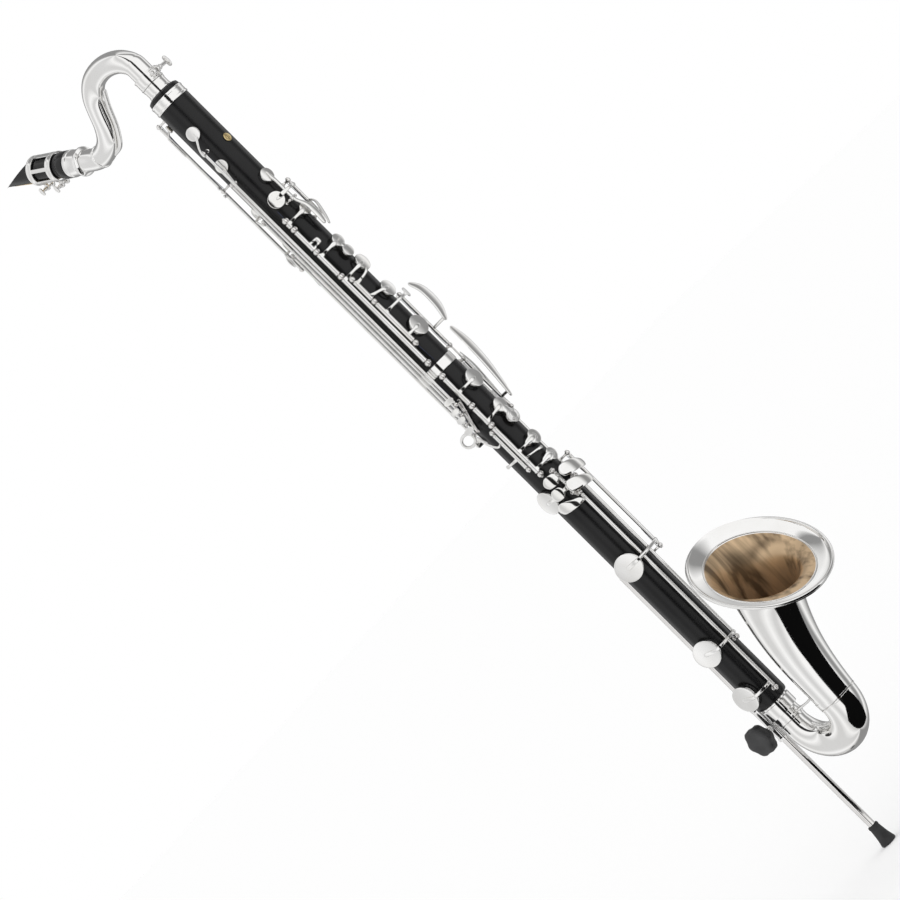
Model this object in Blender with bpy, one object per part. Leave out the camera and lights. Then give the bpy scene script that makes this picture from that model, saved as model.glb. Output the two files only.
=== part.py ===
"""Bass clarinet with a silver-plated neck, bell and keys, built as separate pieces.

Frame: metres, +Z up along the bore. The origin is the middle of the underside of the floor peg's
rubber foot. -Y is the front (tone holes and bell), +Y is the player's side (neck and mouthpiece),
and -X is the player's right hand side.

Sizes are in millimetres. A place on the body is given by its distance down from the top of the body,
its angle round the bore (0 at the front, positive towards the player's right) and its radius.
"""
from math import cos, degrees, pi, radians, sin

import bmesh
import bpy
import numpy as np

MM = 0.001

# ---- driving dimensions ---------------------------------------------------------------------
GAP = 0.35                 # clearance between separate pieces
BODY_LENGTH = 829.0
BODY_R = 18.35
BORE_R = 12.0
PEG_BEHIND = BODY_R + 9.15  # the peg's axis behind the bore's axis
PEG_BELOW = 181.0          # from the lower end of the body to the floor
PEG_R = 4.0
BAND_R = BODY_R + 0.9      # the silver bands round the body
BARREL_R = 2.4             # hinge tubes of the stack keys
SLIM_BARREL_R = 1.8        # hinge tubes of the side and low keys
TRILL_BARREL_R = 1.4
AXLE_R = 0.9
BORE_CLEAR = 0.35          # between an axle and the tube that turns on it
RIM_OUT = 1.3              # how far a tone hole's rim stands out of the body
CUP_TALL = 3.6
LIFT = 2.2                 # how far a key that stands open is off its tone hole
NECK_R = 11.4
RECEIVER_TALL = 11.5
DRAWN_NECK_R = 11.4         # the neck radius that the rib's places were drawn for
NECK_WALL = 1.0
RECEIVER_R = NECK_R + 1.7
SOCKET_R = 14.1
MOUTHPIECE_R = 13.2
FERRULE_R = 14.7           # tube under the body that the bell's bow goes on
BOW_TURN_R = 35.0          # centre-line radius of the bow
BOW_R = 14.0
BOW_END_R = 20.5
BELL_R = 68.2
BELL_WALL = 1.2
BELL_LEAN = 46.5           # the bell's axis leans forward by this many degrees
KNOB_R = 16.5

LIP_DEEP = 5.0             # from the top of the body to the top band
TOP_BAND_TALL = 11.5
CENTRE_BAND_AT = (368.8, 379.8)
BAND_WALL = 1.5
SOCKET_TUBE_TALL = 24.0    # bare tube between the body and the bow
BELL_RIM_R = 1.9           # how far the rolled rim stands out of the bell
BELL_FORWARD = 127.0       # the bell's mouth, in front of the bore's axis
BELL_TALL = 147.0          # the bell's mouth, above the seam with the bow

TOP_Z = BODY_LENGTH + PEG_BELOW
AXIS_Y = -PEG_BEHIND
BOW_TOP = TOP_Z - BODY_LENGTH - SOCKET_TUBE_TALL
STATION = BODY_LENGTH / 829.0   # tone holes keep their share of the body's length
MOUTH_ANGLE = radians(27.0)     # the mouthpiece's slope
MOUTH_DIR = np.array([0.0, cos(MOUTH_ANGLE), sin(MOUTH_ANGLE)])
SOCKET_START = np.array([0.0, 154.0, 17.3])


# ---- places ---------------------------------------------------------------------------------
def z_at(down):
    """Height of a place that is this far down the body."""
    return TOP_Z - down * STATION


def polar(radius, angle, z):
    """A point at this radius and angle round the bore, at a height."""
    a = radians(angle)
    return np.array([-radius * sin(a), AXIS_Y - radius * cos(a), z])


def outward(angle):
    """The direction straight out of the body at this angle."""
    a = radians(angle)
    return np.array([-sin(a), -cos(a), 0.0])


UP = np.array([0.0, 0.0, 1.0])


def unit(v):
    v = np.asarray(v, float)
    return v / np.linalg.norm(v)


def side_of(direction):
    """Two unit vectors square to a direction and to each other."""
    d = unit(direction)
    guide = UP if abs(d[2]) < 0.9 else np.array([0.0, -1.0, 0.0])
    a = unit(np.cross(guide, d))
    return a, np.cross(d, a)


# ---- shapes: each is (points, faces) with its faces pointing out ----------------------------
def rings_to_shape(rings, close_ends=True, loop=False):
    """Join equal rings of points into a closed skin, capped or joined end to end."""
    rings = [np.asarray(r) for r in rings]
    n = len(rings[0])
    points = np.vstack(rings)
    faces = []
    count = len(rings)
    for i in range(count if loop else count - 1):
        a, b = i * n, ((i + 1) % count) * n
        for j in range(n):
            k = (j + 1) % n
            faces.append((a + j, a + k, b + k, b + j))
    if close_ends and not loop:
        faces.append(tuple(range(n))[::-1])
        faces.append(tuple((count - 1) * n + j for j in range(n)))
    return points, faces


def turned(origin, direction, profile, sides, loop=False):
    """A profile of (radius, along) turned about a line. loop closes it into a hollow ring."""
    a, b = side_of(direction)
    d = unit(direction)
    t = np.arange(sides) * 2 * pi / sides
    rings = []
    for radius, along in profile:
        centre = np.asarray(origin) + d * along
        rings.append(centre + radius * (np.outer(np.cos(t), a) + np.outer(np.sin(t), b)))
    return rings_to_shape(rings, loop=loop)


def rod(start, end, radius, sides=8):
    start, end = np.asarray(start), np.asarray(end)
    length = np.linalg.norm(end - start)
    return turned(start, end - start, [(radius, 0), (radius, length)], sides)


def ball(centre, radius, sides=10, rows=5):
    angles = np.linspace(0.4, pi - 0.4, rows)
    profile = [(radius * sin(q), -radius * cos(q)) for q in angles]
    return turned(centre, UP, profile, sides)


def path_frames(path, guide):
    """Tangent, side and out vectors along a path; out stays as near to the guide as it can."""
    path = np.asarray(path, float)
    tangent = np.gradient(path, axis=0)
    tangent /= np.linalg.norm(tangent, axis=1)[:, None]
    guide = np.broadcast_to(np.asarray(guide, float), path.shape)
    side = np.cross(tangent, guide)
    side /= np.linalg.norm(side, axis=1)[:, None]
    return tangent, side, np.cross(side, tangent)


def swept(path, guide, widths, thicks, corner=4):
    """A bar along a path: a rectangle, or an oval where corner is more than 4."""
    path = np.asarray(path, float)
    _, side, out = path_frames(path, guide)
    t = (np.arange(corner) + 0.5) * 2 * pi / corner
    grow = 1 / cos(pi / 4) if corner == 4 else 1.0
    widths = np.broadcast_to(widths, len(path))
    thicks = np.broadcast_to(thicks, len(path))
    rings = []
    for p, s, o, w, h in zip(path, side, out, widths, thicks):
        rings.append(p + grow * (np.outer(np.cos(t), s * w / 2) + np.outer(np.sin(t), o * h / 2)))
    return rings_to_shape(rings)


def pipe(path, outer, inner, first, last, sides=20):
    """A hollow tube along a path in the plane X = 0; its end faces are square to first and last."""
    path = np.asarray(path, float)
    tangent = np.gradient(path, axis=0)
    tangent /= np.linalg.norm(tangent, axis=1)[:, None]
    tangent[0], tangent[-1] = first, last
    across = np.array([1.0, 0.0, 0.0])
    t = np.arange(sides) * 2 * pi / sides
    skins = []
    for radii in (outer, inner):
        radii = np.broadcast_to(radii, len(path))
        skins.append([p + r * (np.outer(np.cos(t), across) + np.outer(np.sin(t), np.cross(d, across)))
                      for p, d, r in zip(path, tangent, radii)])
    return rings_to_shape(skins[0] + skins[1][::-1], loop=True)


def smooth_path(knots, places):
    """A smooth curve through knots (a Catmull-Rom spline), read at a count of even places or at shares of it."""
    shares = np.linspace(0, 1, places) if isinstance(places, int) else np.asarray(places)
    k = np.asarray(knots, float)
    k = np.vstack([2 * k[0] - k[1], k, 2 * k[-1] - k[-2]])
    out = []
    for u in shares * (len(k) - 3 - 1e-9):
        i = int(u)
        t = u - i
        a, b, c, d = k[i:i + 4]
        out.append(0.5 * (2 * b + (c - a) * t + (2 * a - 5 * b + 4 * c - d) * t ** 2
                          + (3 * b - a - 3 * c + d) * t ** 3))
    return np.array(out)


def arc_bar(start, end, width, thick, hump=0.0, steps=6, corner=4):
    """A bar from one (radius, angle, z) to another, bent round the body, raised by hump midway."""
    t = np.linspace(0, 1, steps)
    r = start[0] + (end[0] - start[0]) * t + hump * np.sin(pi * t)
    a = start[1] + (end[1] - start[1]) * t
    z = start[2] + (end[2] - start[2]) * t
    path = [polar(*p) for p in zip(r, a, z)]
    return swept(path, [outward(q) for q in a], width, thick, corner)


def plate(radius, angles, zs, widths, thick, corner=6):
    """A finger plate bent round the body: matching lists of angle, height and width."""
    path = [polar(radius, a, z) for a, z in zip(angles, zs)]
    return swept(path, [outward(a) for a in angles], widths, thick, corner)


def long_plate(radii, angle, zs, widths, thick, corner=6):
    """A finger plate that runs along the body."""
    path = [polar(r, angle, z) for r, z in zip(radii, zs)]
    return swept(path, outward(angle), widths, thick, corner)


# ---- objects --------------------------------------------------------------------------------
def clear_scene():
    for thing in list(bpy.data.objects):
        bpy.data.objects.remove(thing, do_unlink=True)


def finish_material(name, colour, metallic, roughness):
    material = bpy.data.materials.new(name)
    material.use_nodes = True
    shader = material.node_tree.nodes["Principled BSDF"]
    shader.inputs["Base Color"].default_value = (*colour, 1.0)
    shader.inputs["Metallic"].default_value = metallic
    shader.inputs["Roughness"].default_value = roughness
    material.diffuse_color = (*colour, 1.0)
    return material


def raw_object(name, shape):
    points, faces = shape
    mesh = bpy.data.meshes.new(name)
    mesh.from_pydata([tuple(p * MM) for p in np.asarray(points)], [], faces)
    bm = bmesh.new()
    bm.from_mesh(mesh)
    bmesh.ops.remove_doubles(bm, verts=bm.verts, dist=1e-7)
    bmesh.ops.recalc_face_normals(bm, faces=bm.faces)
    bm.to_mesh(mesh)
    bm.free()
    thing = bpy.data.objects.new(name, mesh)
    bpy.context.collection.objects.link(thing)
    return thing


def boolean_all(base, shapes, operation):
    """Apply one exact Boolean after another to the base object's mesh."""
    for shape in shapes:
        tool = raw_object(f"{base.name}.tool", shape)
        modifier = base.modifiers.new("cut", "BOOLEAN")
        modifier.operation = operation
        modifier.solver = "EXACT"
        modifier.object = tool
        bpy.context.view_layer.update()
        result = base.evaluated_get(bpy.context.evaluated_depsgraph_get())
        mesh = bpy.data.meshes.new_from_object(result)
        base.modifiers.clear()
        old = base.data
        base.data = mesh
        bpy.data.meshes.remove(old)
        bpy.data.objects.remove(tool, do_unlink=True)


def piece(name, material, shapes, cuts=()):
    """One named solid: its shapes joined into a single body, then its cuts taken out."""
    thing = raw_object(name, shapes[0])
    boolean_all(thing, shapes[1:], "UNION")
    boolean_all(thing, cuts, "DIFFERENCE")
    thing.data.name = name
    thing.data.materials.clear()
    thing.data.materials.append(material)
    thing.data.shade_smooth()
    thing.data.set_sharp_from_angle(angle=radians(35))
    return thing


# ---- posts and hinge tubes ------------------------------------------------------------------
class Hinge:
    """A straight axle beside the body: where it is, how thick its tubes are and its posts."""

    def __init__(self, angle, out, tube_r, posts, ball_r):
        self.angle = angle
        self.radius = BODY_R + out
        self.tube_r = tube_r
        self.posts = posts
        self.ball_r = ball_r

    def point(self, z):
        return polar(self.radius, self.angle, z)

    def shapes(self):
        """The axle with a ball and a stem at each post."""
        top, bottom = z_at(self.posts[0]), z_at(self.posts[-1])
        shapes = [rod(self.point(bottom), self.point(top), AXLE_R, 6)]
        stem_r = self.ball_r * 0.55
        for down in self.posts:
            z = z_at(down)
            shapes.append(ball(self.point(z + 0.13), self.ball_r, 7, 4))
            shapes.append(rod(polar(BODY_R + GAP, self.angle, z), polar(self.radius + 0.37, self.angle, z),
                              stem_r, 5))
        return shapes

    def tube(self, upper, lower):
        """A hinge tube between two places, each given as (down, is_post)."""
        ends = []
        for (down, is_post), sign in ((upper, -1), (lower, 1)):
            clear = self.ball_r + GAP if is_post else GAP / 2
            ends.append(z_at(down) + sign * clear)
        return rod(self.point(ends[1]), self.point(ends[0]), self.tube_r), ends

    def bore(self, ends):
        return rod(self.point(ends[1] - 1), self.point(ends[0] + 1), AXLE_R + BORE_CLEAR, 6)


def cup_bottom(is_open):
    return BODY_R + RIM_OUT + GAP + (LIFT if is_open else 0.0)


def cup(angle, down, radius, is_open, tall=CUP_TALL, sides=12):
    """A round key cup with its pad inside, facing a tone hole."""
    r0 = cup_bottom(is_open)
    top = r0 + tall
    profile = [(radius, r0), (radius, top - 0.8), (radius * 0.82, top)]
    origin = np.array([0.0, AXIS_Y, z_at(down)])
    return turned(origin, outward(angle), profile, sides)


def tone_rim(angle, down, radius):
    """The raised rim of a tone hole, and the hole through the wall."""
    origin = np.array([0.0, AXIS_Y, z_at(down)])
    rim = turned(origin, outward(angle), [(radius, BORE_R + 2.5), (radius, BODY_R + RIM_OUT)], 10)
    hole = turned(origin, outward(angle), [(radius * 0.72, 2.0), (radius * 0.72, BODY_R + 4)], 6)
    return rim, hole


# ---- keys -----------------------------------------------------------------------------------
# Every tone hole: name, angle, down, cup radius, stands open at rest.
HOLES = {
    "trill_1": (61.4, 51.2, 7.2, False),
    "trill_2": (69.5, 91.9, 7.0, False),
    "trill_3": (107.0, 147.0, 6.4, False),
    "trill_4": (119.0, 190.0, 6.4, False),
    "gsharp": (-2.0, 128.2, 7.6, False),
    "a": (30.4, 151.6, 8.6, False),
    "side": (-6.0, 176.5, 6.6, True),
    "upper_1": (-9.0, 220.0, 7.2, True),
    "upper_2": (-17.0, 251.1, 8.9, True),
    "upper_3": (-14.2, 286.0, 8.9, True),
    "bridge": (-4.0, 331.5, 10.8, False),
    "lower_1": (-4.3, 404.7, 10.0, True),
    "lower_2": (-1.6, 440.6, 7.9, True),
    "lower_3": (-6.3, 485.0, 7.8, True),
    "lower_4": (-6.6, 508.5, 6.8, True),
    "pinky": (97.2, 540.5, 13.0, False),
    "low_1": (58.7, 638.0, 14.5, True),
    "low_2": (74.5, 750.0, 14.6, True),
    "low_3": (88.4, 807.4, 14.3, True),
    "register": (150.0, 29.5, 4.2, False),
}

HINGES = {
    "upper": Hinge(51.5, 6.6, BARREL_R, [172.2, 183.7, 213.8, 246.8, 363.5], 3.0),
    "front": Hinge(38.0, 6.6, BARREL_R, [256.4, 286.0, 341.5], 3.0),
    "lower": Hinge(50.0, 6.6, BARREL_R, [382.5, 422.4, 448.7, 514.7], 3.0),
    "cross": Hinge(62.0, 6.6, SLIM_BARREL_R, [454.5, 503.5], 2.4),
    "left": Hinge(-75.0, 7.2, SLIM_BARREL_R, [298.0, 366.5, 385.0, 450.0], 2.6),
    "left_low": Hinge(-93.0, 7.2, SLIM_BARREL_R, [385.0, 515.0], 2.6),
    "throat": Hinge(-48.0, 7.2, SLIM_BARREL_R, [145.0, 188.0], 2.6),
    "low_1": Hinge(-42.0, 11.0, SLIM_BARREL_R, [519.5, 645.5], 2.6),
    "low_2": Hinge(-14.6, 5.0, SLIM_BARREL_R, [539.5, 758.5], 2.6),
    "low_3": Hinge(13.0, 4.6, SLIM_BARREL_R, [553.5, 818.5], 2.6),
    "pinky": Hinge(24.0, 5.7, SLIM_BARREL_R, [520.5, 548.8], 2.4),
    "register": Hinge(150.0, 9.2, 1.6, [21.0, 108.0, 214.0], 2.4),
    "trill_1": Hinge(69.5, 9.5, TRILL_BARREL_R, [72.0, 399.5], 2.0),
    "trill_2": Hinge(79.0, 7.9, TRILL_BARREL_R, [112.0, 411.0], 2.0),
    "trill_3": Hinge(90.0, 7.9, TRILL_BARREL_R, [158.0, 420.5], 2.0),
    "trill_4": Hinge(102.3, 7.9, TRILL_BARREL_R, [200.0, 433.0], 2.0),
}


def key(name, material, hinge_name, upper, lower, shapes):
    """A key on a hinge: its tube, joined to its arms, cups and touches, bored for the axle."""
    hinge = HINGES[hinge_name]
    tube, ends = hinge.tube(upper, lower)
    return piece(name, material, [tube] + list(shapes), [hinge.bore(ends)])


def arm_to_cup(hinge_name, hole, width=3.2, thick=1.8, hump=1.0, tall=CUP_TALL, down=None):
    """An arm from a hinge tube over to the middle of a cup's top."""
    hinge = HINGES[hinge_name]
    angle, hole_down, radius, is_open = HOLES[hole]
    z = z_at(hole_down if down is None else down)
    start = (hinge.radius + 0.4, hinge.angle, z)
    end = (cup_bottom(is_open) + tall + thick / 2 - 0.35, angle, z_at(hole_down))
    return arc_bar(start, end, width, thick, hump)


def stack_keys(silver):
    """The finger plates and cups on the two upper hinges and the lower one."""
    open_top = cup_bottom(True) + CUP_TALL
    shapes = [cup(*HOLES["side"]), arm_to_cup("upper", "side")]
    key("side_key", silver, "upper", (172.2, True), (183.7, True), shapes)

    upper = HINGES["upper"]
    lever = arc_bar((upper.radius, 51.5, z_at(207)), (BODY_R + 7.2, 30, z_at(207)), 7.5, 2.0, 0.6, 4)
    key("upper_link_key", silver, "upper", (183.7, True), (213.8, True), [lever])

    angle, down, radius, _ = HOLES["upper_1"]
    touch = cup(angle, down + 13.4 / STATION, 6.6, True, sides=14)
    key("upper_plateau_1", silver, "upper", (213.8, True), (246.8, True),
        [cup(angle, down, radius, True), touch, arm_to_cup("upper", "upper_1")])

    angle, down, radius, _ = HOLES["upper_2"]
    key("upper_plateau_2", silver, "upper", (246.8, True), (363.5, True),
        [cup(angle, down, radius, True), arm_to_cup("upper", "upper_2", down=251.9)])

    front = HINGES["front"]
    angle, down, radius, _ = HOLES["upper_3"]
    link = arc_bar((front.radius, 38, z_at(262.3)), (open_top + 0.6, 8, z_at(263.3)), 2.6, 1.6, 1.0, 4)
    key("upper_plateau_3", silver, "front", (256.4, True), (286.0, True),
        [cup(angle, down, radius, True), arm_to_cup("front", "upper_3", down=279.5), link])

    angle, down, radius, _ = HOLES["bridge"]
    lever = arc_bar((front.radius, 38, z_at(301.4)), (BODY_R + 12.0, -34, z_at(301.4)), 3.0, 1.8, 1.2, 7)
    end_plate = long_plate([BODY_R + 12.0] * 4, -34, [z_at(q) for q in (295.5, 299, 303, 306.5)],
                           [3.5, 7, 7, 3.5], 1.8)
    key("bridge_key", silver, "front", (286.0, True), (341.5, True),
        [cup(angle, down, radius, False), arm_to_cup("front", "bridge"), lever, end_plate])

    angle, down, radius, _ = HOLES["lower_1"]
    key("lower_plateau_1", silver, "lower", (382.5, True), (422.4, True),
        [cup(angle, down, radius, True), arm_to_cup("lower", "lower_1")])

    angle, down, radius, _ = HOLES["lower_2"]
    touch = cup(-5.0, 456.3, 7.8, True, CUP_TALL + 0.6)
    bridge = long_plate([open_top - 1.0] * 2, -3.0, [z_at(444), z_at(452)], 8, 2.2, 4)
    key("lower_plateau_2", silver, "lower", (422.4, True), (448.7, True),
        [cup(angle, down, radius, True), touch, bridge, arm_to_cup("lower", "lower_2", down=443.4)])

    for name, hole, span in (("lower_spoon_1", "lower_3", ((448.7, True), (497.5, False))),
                             ("lower_spoon_2", "lower_4", ((497.5, False), (514.7, True)))):
        angle, down, radius, _ = HOLES[hole]
        arm = arm_to_cup("lower", hole, 3.0)
        flare = arc_bar((open_top + 0.3, 26, z_at(down)), (open_top + 0.3, angle, z_at(down)), 7, 1.6, 0, 3)
        key(name, silver, "lower", *span, [cup(angle, down, radius, True), arm, flare])


def cross_key(silver):
    """The side key whose long arm passes under the lower stack to the front of the body."""
    hinge = HINGES["cross"]
    low = BODY_R + 2.9
    front = arc_bar((hinge.radius - 0.6, 63, z_at(493)), (low - 0.1, 57.5, z_at(493)), 2.6, 1.9, 0.0, 3)
    across = arc_bar((low, 60, z_at(493)), (low + 0.3, -9, z_at(497.4)), 2.6, 1.6, 0, 9)
    back = arc_bar((hinge.radius + 0.4, 62, z_at(489)), (BODY_R + 8.5, 97, z_at(488.5)), 2.8, 1.8, 0.4, 5)
    guard = smooth_path([polar(hinge.radius + 0.6, 62, z_at(467)), polar(BODY_R + 9, 72, z_at(468)),
                         polar(BODY_R + 9.6, 84, z_at(460)), polar(BODY_R + 9.6, 93, z_at(447))], 8)
    guard_bar = swept(guard, outward(80), 2.4, 2.4, 6)
    key("cross_key", silver, "cross", (454.5, True), (503.5, True), [front, across, back, guard_bar])


def flat_touch(angle, radius, down, length, widths, thick):
    """A flat finger plate square to the outward direction at its middle."""
    a = radians(angle)
    round_body = np.array([-cos(a), sin(a), 0.0])
    middle = polar(radius, angle, z_at(down))
    path = [middle + round_body * length * share for share in np.linspace(-0.5, 0.5, len(widths))]
    return swept(path, outward(angle), widths, thick, 6)


# Each trill key: its touch's place down, angle, height over the hinge tube and length, and its arm: how far
# below the top post it starts, how far it passes outside the tube, and the two angles that it passes at.
TRILLS = {
    "trill_1": ((404.0, 72.0, 4.6, 12.6), (3.0, 3.2, (69.5, 66.8))),
    "trill_2": ((415.5, 80.5, 4.5, 12.4), (5.8, -3.0, (75.0, 72.6))),
    "trill_3": ((425.0, 84.0, 4.0, 12.4), (3.0, 3.4, (90.0, 95.7))),
    "trill_4": ((437.5, 88.0, 4.4, 15.0), (3.0, 3.4, (102.3, 107.9))),
}
TRILL_CUP_TALL = 2.3


def trill_keys(silver):
    """Four long keys on the player's right: cups near the top, touches for the right hand."""
    for name, (touch_place, arm_place) in TRILLS.items():
        touch_down, touch_angle, touch_out, touch_length = touch_place
        start_below, arm_out, (first_angle, second_angle) = arm_place
        hinge = HINGES[name]
        angle, down, radius, _ = HOLES[name]
        top = cup_bottom(False) + TRILL_CUP_TALL
        z_end = z_at(hinge.posts[0]) - start_below
        arm_path = [hinge.point(z_end), polar(hinge.radius + arm_out, first_angle, z_end + 2),
                    polar(hinge.radius + arm_out, second_angle, z_end + 8.5),
                    polar(top + 0.5, angle, z_at(down) - radius + 2.5), polar(top + 0.5, angle, z_at(down))]
        arm = swept(smooth_path(arm_path, 8), outward(angle), 2.2, 1.8, 4)
        touch = flat_touch(touch_angle, hinge.radius + touch_out, touch_down, touch_length,
                           [3.0, 5.6, 6.2, 5.6, 3.0], 1.8)
        foot = rod(hinge.point(z_at(touch_down)), polar(hinge.radius + touch_out, hinge.angle, z_at(touch_down)),
                   1.3, 6)
        tube_end = touch_down + 4.0
        hinge.posts[1] = tube_end + hinge.ball_r + GAP
        key(f"{name}_key", silver, name, (hinge.posts[0], True), (tube_end, False),
            [cup(angle, down, radius, False, TRILL_CUP_TALL), arm, touch, foot])


# Each left-hand lever: its hinge, the posts that it turns between, the angle of its blade round the body,
# the way its flat faces, the blade's stations (down, out from the body, width) and where its foot stands.
LEFT_LEVERS = {
    "left_lever_1": ("left", (298.0, 366.5), -60.0, -15.0,
                     ((296, 19.0, 6.0), (310, 25.0, 12.0), (330, 25.0, 13.0), (347, 20.0, 7.0)), 344.0),
    "left_lever_2": ("left", (385.0, 450.0), -58.0, -15.0,
                     ((354, 18.0, 7.0), (374, 19.5, 12.0), (400, 18.5, 12.0), (424, 15.5, 8.0), (443, 12.5, 5.0)),
                     437.0),
    "left_lever_3": ("left_low", (385.0, 515.0), -88.0, -50.0,
                     ((378, 14.0, 6.0), (396, 15.5, 11.0), (420, 13.5, 9.0), (452, 10.0, 5.0)), 447.0),
}


def left_levers(silver):
    """The three long levers for the left little finger, on the left edge."""
    for name, (hinge_name, (upper, lower), angle, facing, stations, foot_down) in LEFT_LEVERS.items():
        hinge = HINGES[hinge_name]
        downs, outs, widths = np.array(stations).T
        line = smooth_path([polar(BODY_R + out, angle, z_at(down)) for down, out in zip(downs, outs)], 9)
        line_widths = np.interp(np.linspace(0, 1, 9), np.linspace(0, 1, len(widths)), widths)
        blade = swept(line, outward(facing), line_widths, 2.2, 6)
        foot_out = np.interp(foot_down, downs, outs)
        foot = rod(hinge.point(z_at(foot_down)), polar(BODY_R + foot_out, angle, z_at(foot_down)), 1.6, 6)
        key(name, silver, hinge_name, (upper, True), (lower, True), [blade, foot])


def throat_keys(silver):
    """The A key on its own hinge, and the G sharp key, a rocking lever along the body."""
    hinge = HINGES["throat"]
    angle, down, radius, _ = HOLES["a"]
    top = cup_bottom(False) + CUP_TALL
    arm = arc_bar((hinge.radius + 0.5, -48, z_at(151.6)), (top + 0.5, angle, z_at(151.6)), 2.8, 1.8, 4.4, 8)
    touch = swept(smooth_path([polar(hinge.radius + 0.8, -46, z_at(172)),
                               polar(BODY_R + 12, -40, z_at(178)), polar(BODY_R + 11, -28, z_at(192)),
                               polar(BODY_R + 9.5, -20, z_at(203))], 8),
                  outward(-35), [3, 4, 6, 7, 7, 7, 6, 4], 1.8, 6)
    key("a_key", silver, "throat", (145.0, True), (188.0, True),
        [cup(angle, down, radius, False), arm, touch])

    angle, down, radius, _ = HOLES["gsharp"]
    bar_r = BODY_R + 6.8
    bar = swept(smooth_path([polar(top + 0.4, angle, z_at(down - 3)), polar(top + 0.8, angle, z_at(down + 5)),
                             polar(bar_r, angle, z_at(down + 12)), polar(bar_r, angle, z_at(161)),
                             polar(bar_r + 1.6, angle - 3, z_at(168)), polar(bar_r + 4.1, angle - 7, z_at(176)),
                             polar(bar_r + 3.8, angle - 10, z_at(188)), polar(bar_r + 2, angle - 10, z_at(200))],
                            13),
                outward(angle), [3, 3.6, 4, 4, 4, 4, 4, 4, 4.6, 5.4, 6.6, 7, 5], 1.8, 6)
    pivot_z = z_at(161.0)
    across = np.cross(outward(angle), UP)
    centre = polar(bar_r - 1.0, angle, pivot_z)
    hub = rod(centre - across * 3.0, centre + across * 3.0, 2.2)
    hole = rod(centre - across * 5.0, centre + across * 5.0, AXLE_R + BORE_CLEAR, 8)
    piece("gsharp_key", silver, [bar, hub, cup(angle, down, radius, False)], [hole])
    pin = rod(centre - across * 5.2, centre + across * 5.2, AXLE_R, 8)
    shapes = [pin]
    for sign in (-1, 1):
        high = centre + across * sign * 5.0
        foot = np.array([high[0], high[1], pivot_z]) - outward(angle) * (bar_r - 1.0 - BODY_R - GAP)
        shapes.append(ball(high, 1.6, 8, 4))
        shapes.append(rod(foot, high, 1.1, 6))
    piece("gsharp_posts", silver, shapes)


def register_keys(silver):
    """The thumb-worked register mechanism on the back: a vent key and the lever that lifts it."""
    hinge = HINGES["register"]
    angle, down, radius, _ = HOLES["register"]
    r = hinge.radius
    top = cup_bottom(False) + 3.0
    arm = arc_bar((r, 150, z_at(down + 5)), (top - 0.5, 150, z_at(down)), 3, 1.8, 0, 3)
    vent_plate = long_plate([r + 1.0] * 4, 150, [z_at(q) for q in (34, 40, 54, 60)], [4, 5, 5, 4], 2.4, 6)
    link = arc_bar((r, 150, z_at(103.5)), (r - 0.5, 134, z_at(103.5)), 3, 1.8, 0.5, 4)
    key("register_vent_key", silver, "register", (21.0, True), (108.0, True),
        [cup(angle, down, radius, False, 3.0, 12), arm, vent_plate, link])
    touch = plate(r + 3.0, [142, 149, 156, 163, 169], [z_at(202)] * 5, [6, 11, 13, 11, 6], 2.0)
    foot = rod(hinge.point(z_at(202)), polar(r + 3.0, 150, z_at(202)), 1.6, 6)
    link = arc_bar((r, 150, z_at(113)), (r + 0.8, 132, z_at(113)), 3, 1.8, 0.8, 4)
    key("register_lever", silver, "register", (108.0, True), (214.0, True), [touch, foot, link])


# Each low key: where its arm leaves the tube and how far out it passes, its touch's distance out of the body and stations
# (angle, down, width), and its foot's angle and place down.
LOW_KEYS = {
    "low_1": (638.0, 13.4, 15.6, ((-46, 536, 7), (-34, 535, 9), (-20, 532.5, 11), (-6, 530, 12.5), (8, 528, 13),
                            (18, 527, 11), (24, 526.5, 7)), (-42.0, 534.5)),
    "low_2": (752.4, 11.4, 12.8, ((-32, 551, 7), (-20, 550, 9), (-6, 548, 11), (8, 545.5, 12.5), (20, 543.5, 13),
                            (28, 542, 11), (33, 541.5, 7)), (-14.6, 549.0)),
    "low_3": (810.4, 11.4, 9.6, ((24, 559.5, 5), (34, 558.5, 7), (46, 557, 9), (58, 555, 11), (68, 553.5, 11),
                           (77, 552.5, 7)), (28.0, 560.5)),
}


def low_keys(silver):
    """Three long keys for the right little finger, each from its touch down to a big cup."""
    for name, (arm_down, arm_out, touch_out, stations, (foot_angle, foot_down)) in LOW_KEYS.items():
        hinge = HINGES[name]
        over = BODY_R + arm_out
        angle, down, radius, _ = HOLES[name]
        z = z_at(arm_down)
        middle_angle = (hinge.angle + angle) / 2 + 4
        land = polar(cup_bottom(True) + CUP_TALL + 0.55, angle, z_at(down))
        arm_path = smooth_path([hinge.point(z), polar(over, hinge.angle + 14, z), polar(over, middle_angle, z),
                                polar(over - 0.6, angle - 22, z), land], 10)
        guide = [outward(degrees(np.arctan2(-p[0], -(p[1] - AXIS_Y)))) for p in arm_path]
        arm = swept(arm_path, guide, 3.4, 2.0, 4)
        big = cup(angle, down, radius, True, CUP_TALL + 0.4, 18)
        angles, downs, widths = np.array(stations).T
        touch = plate(BODY_R + touch_out, angles, z_at(downs), widths, 2.2)
        foot = rod(hinge.point(z_at(foot_down)), polar(BODY_R + touch_out, foot_angle, z_at(foot_down)), 1.8, 6)
        key(f"{name}_key", silver, name, (hinge.posts[0], True), (hinge.posts[1], True),
            [big, arm, touch, foot])


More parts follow.
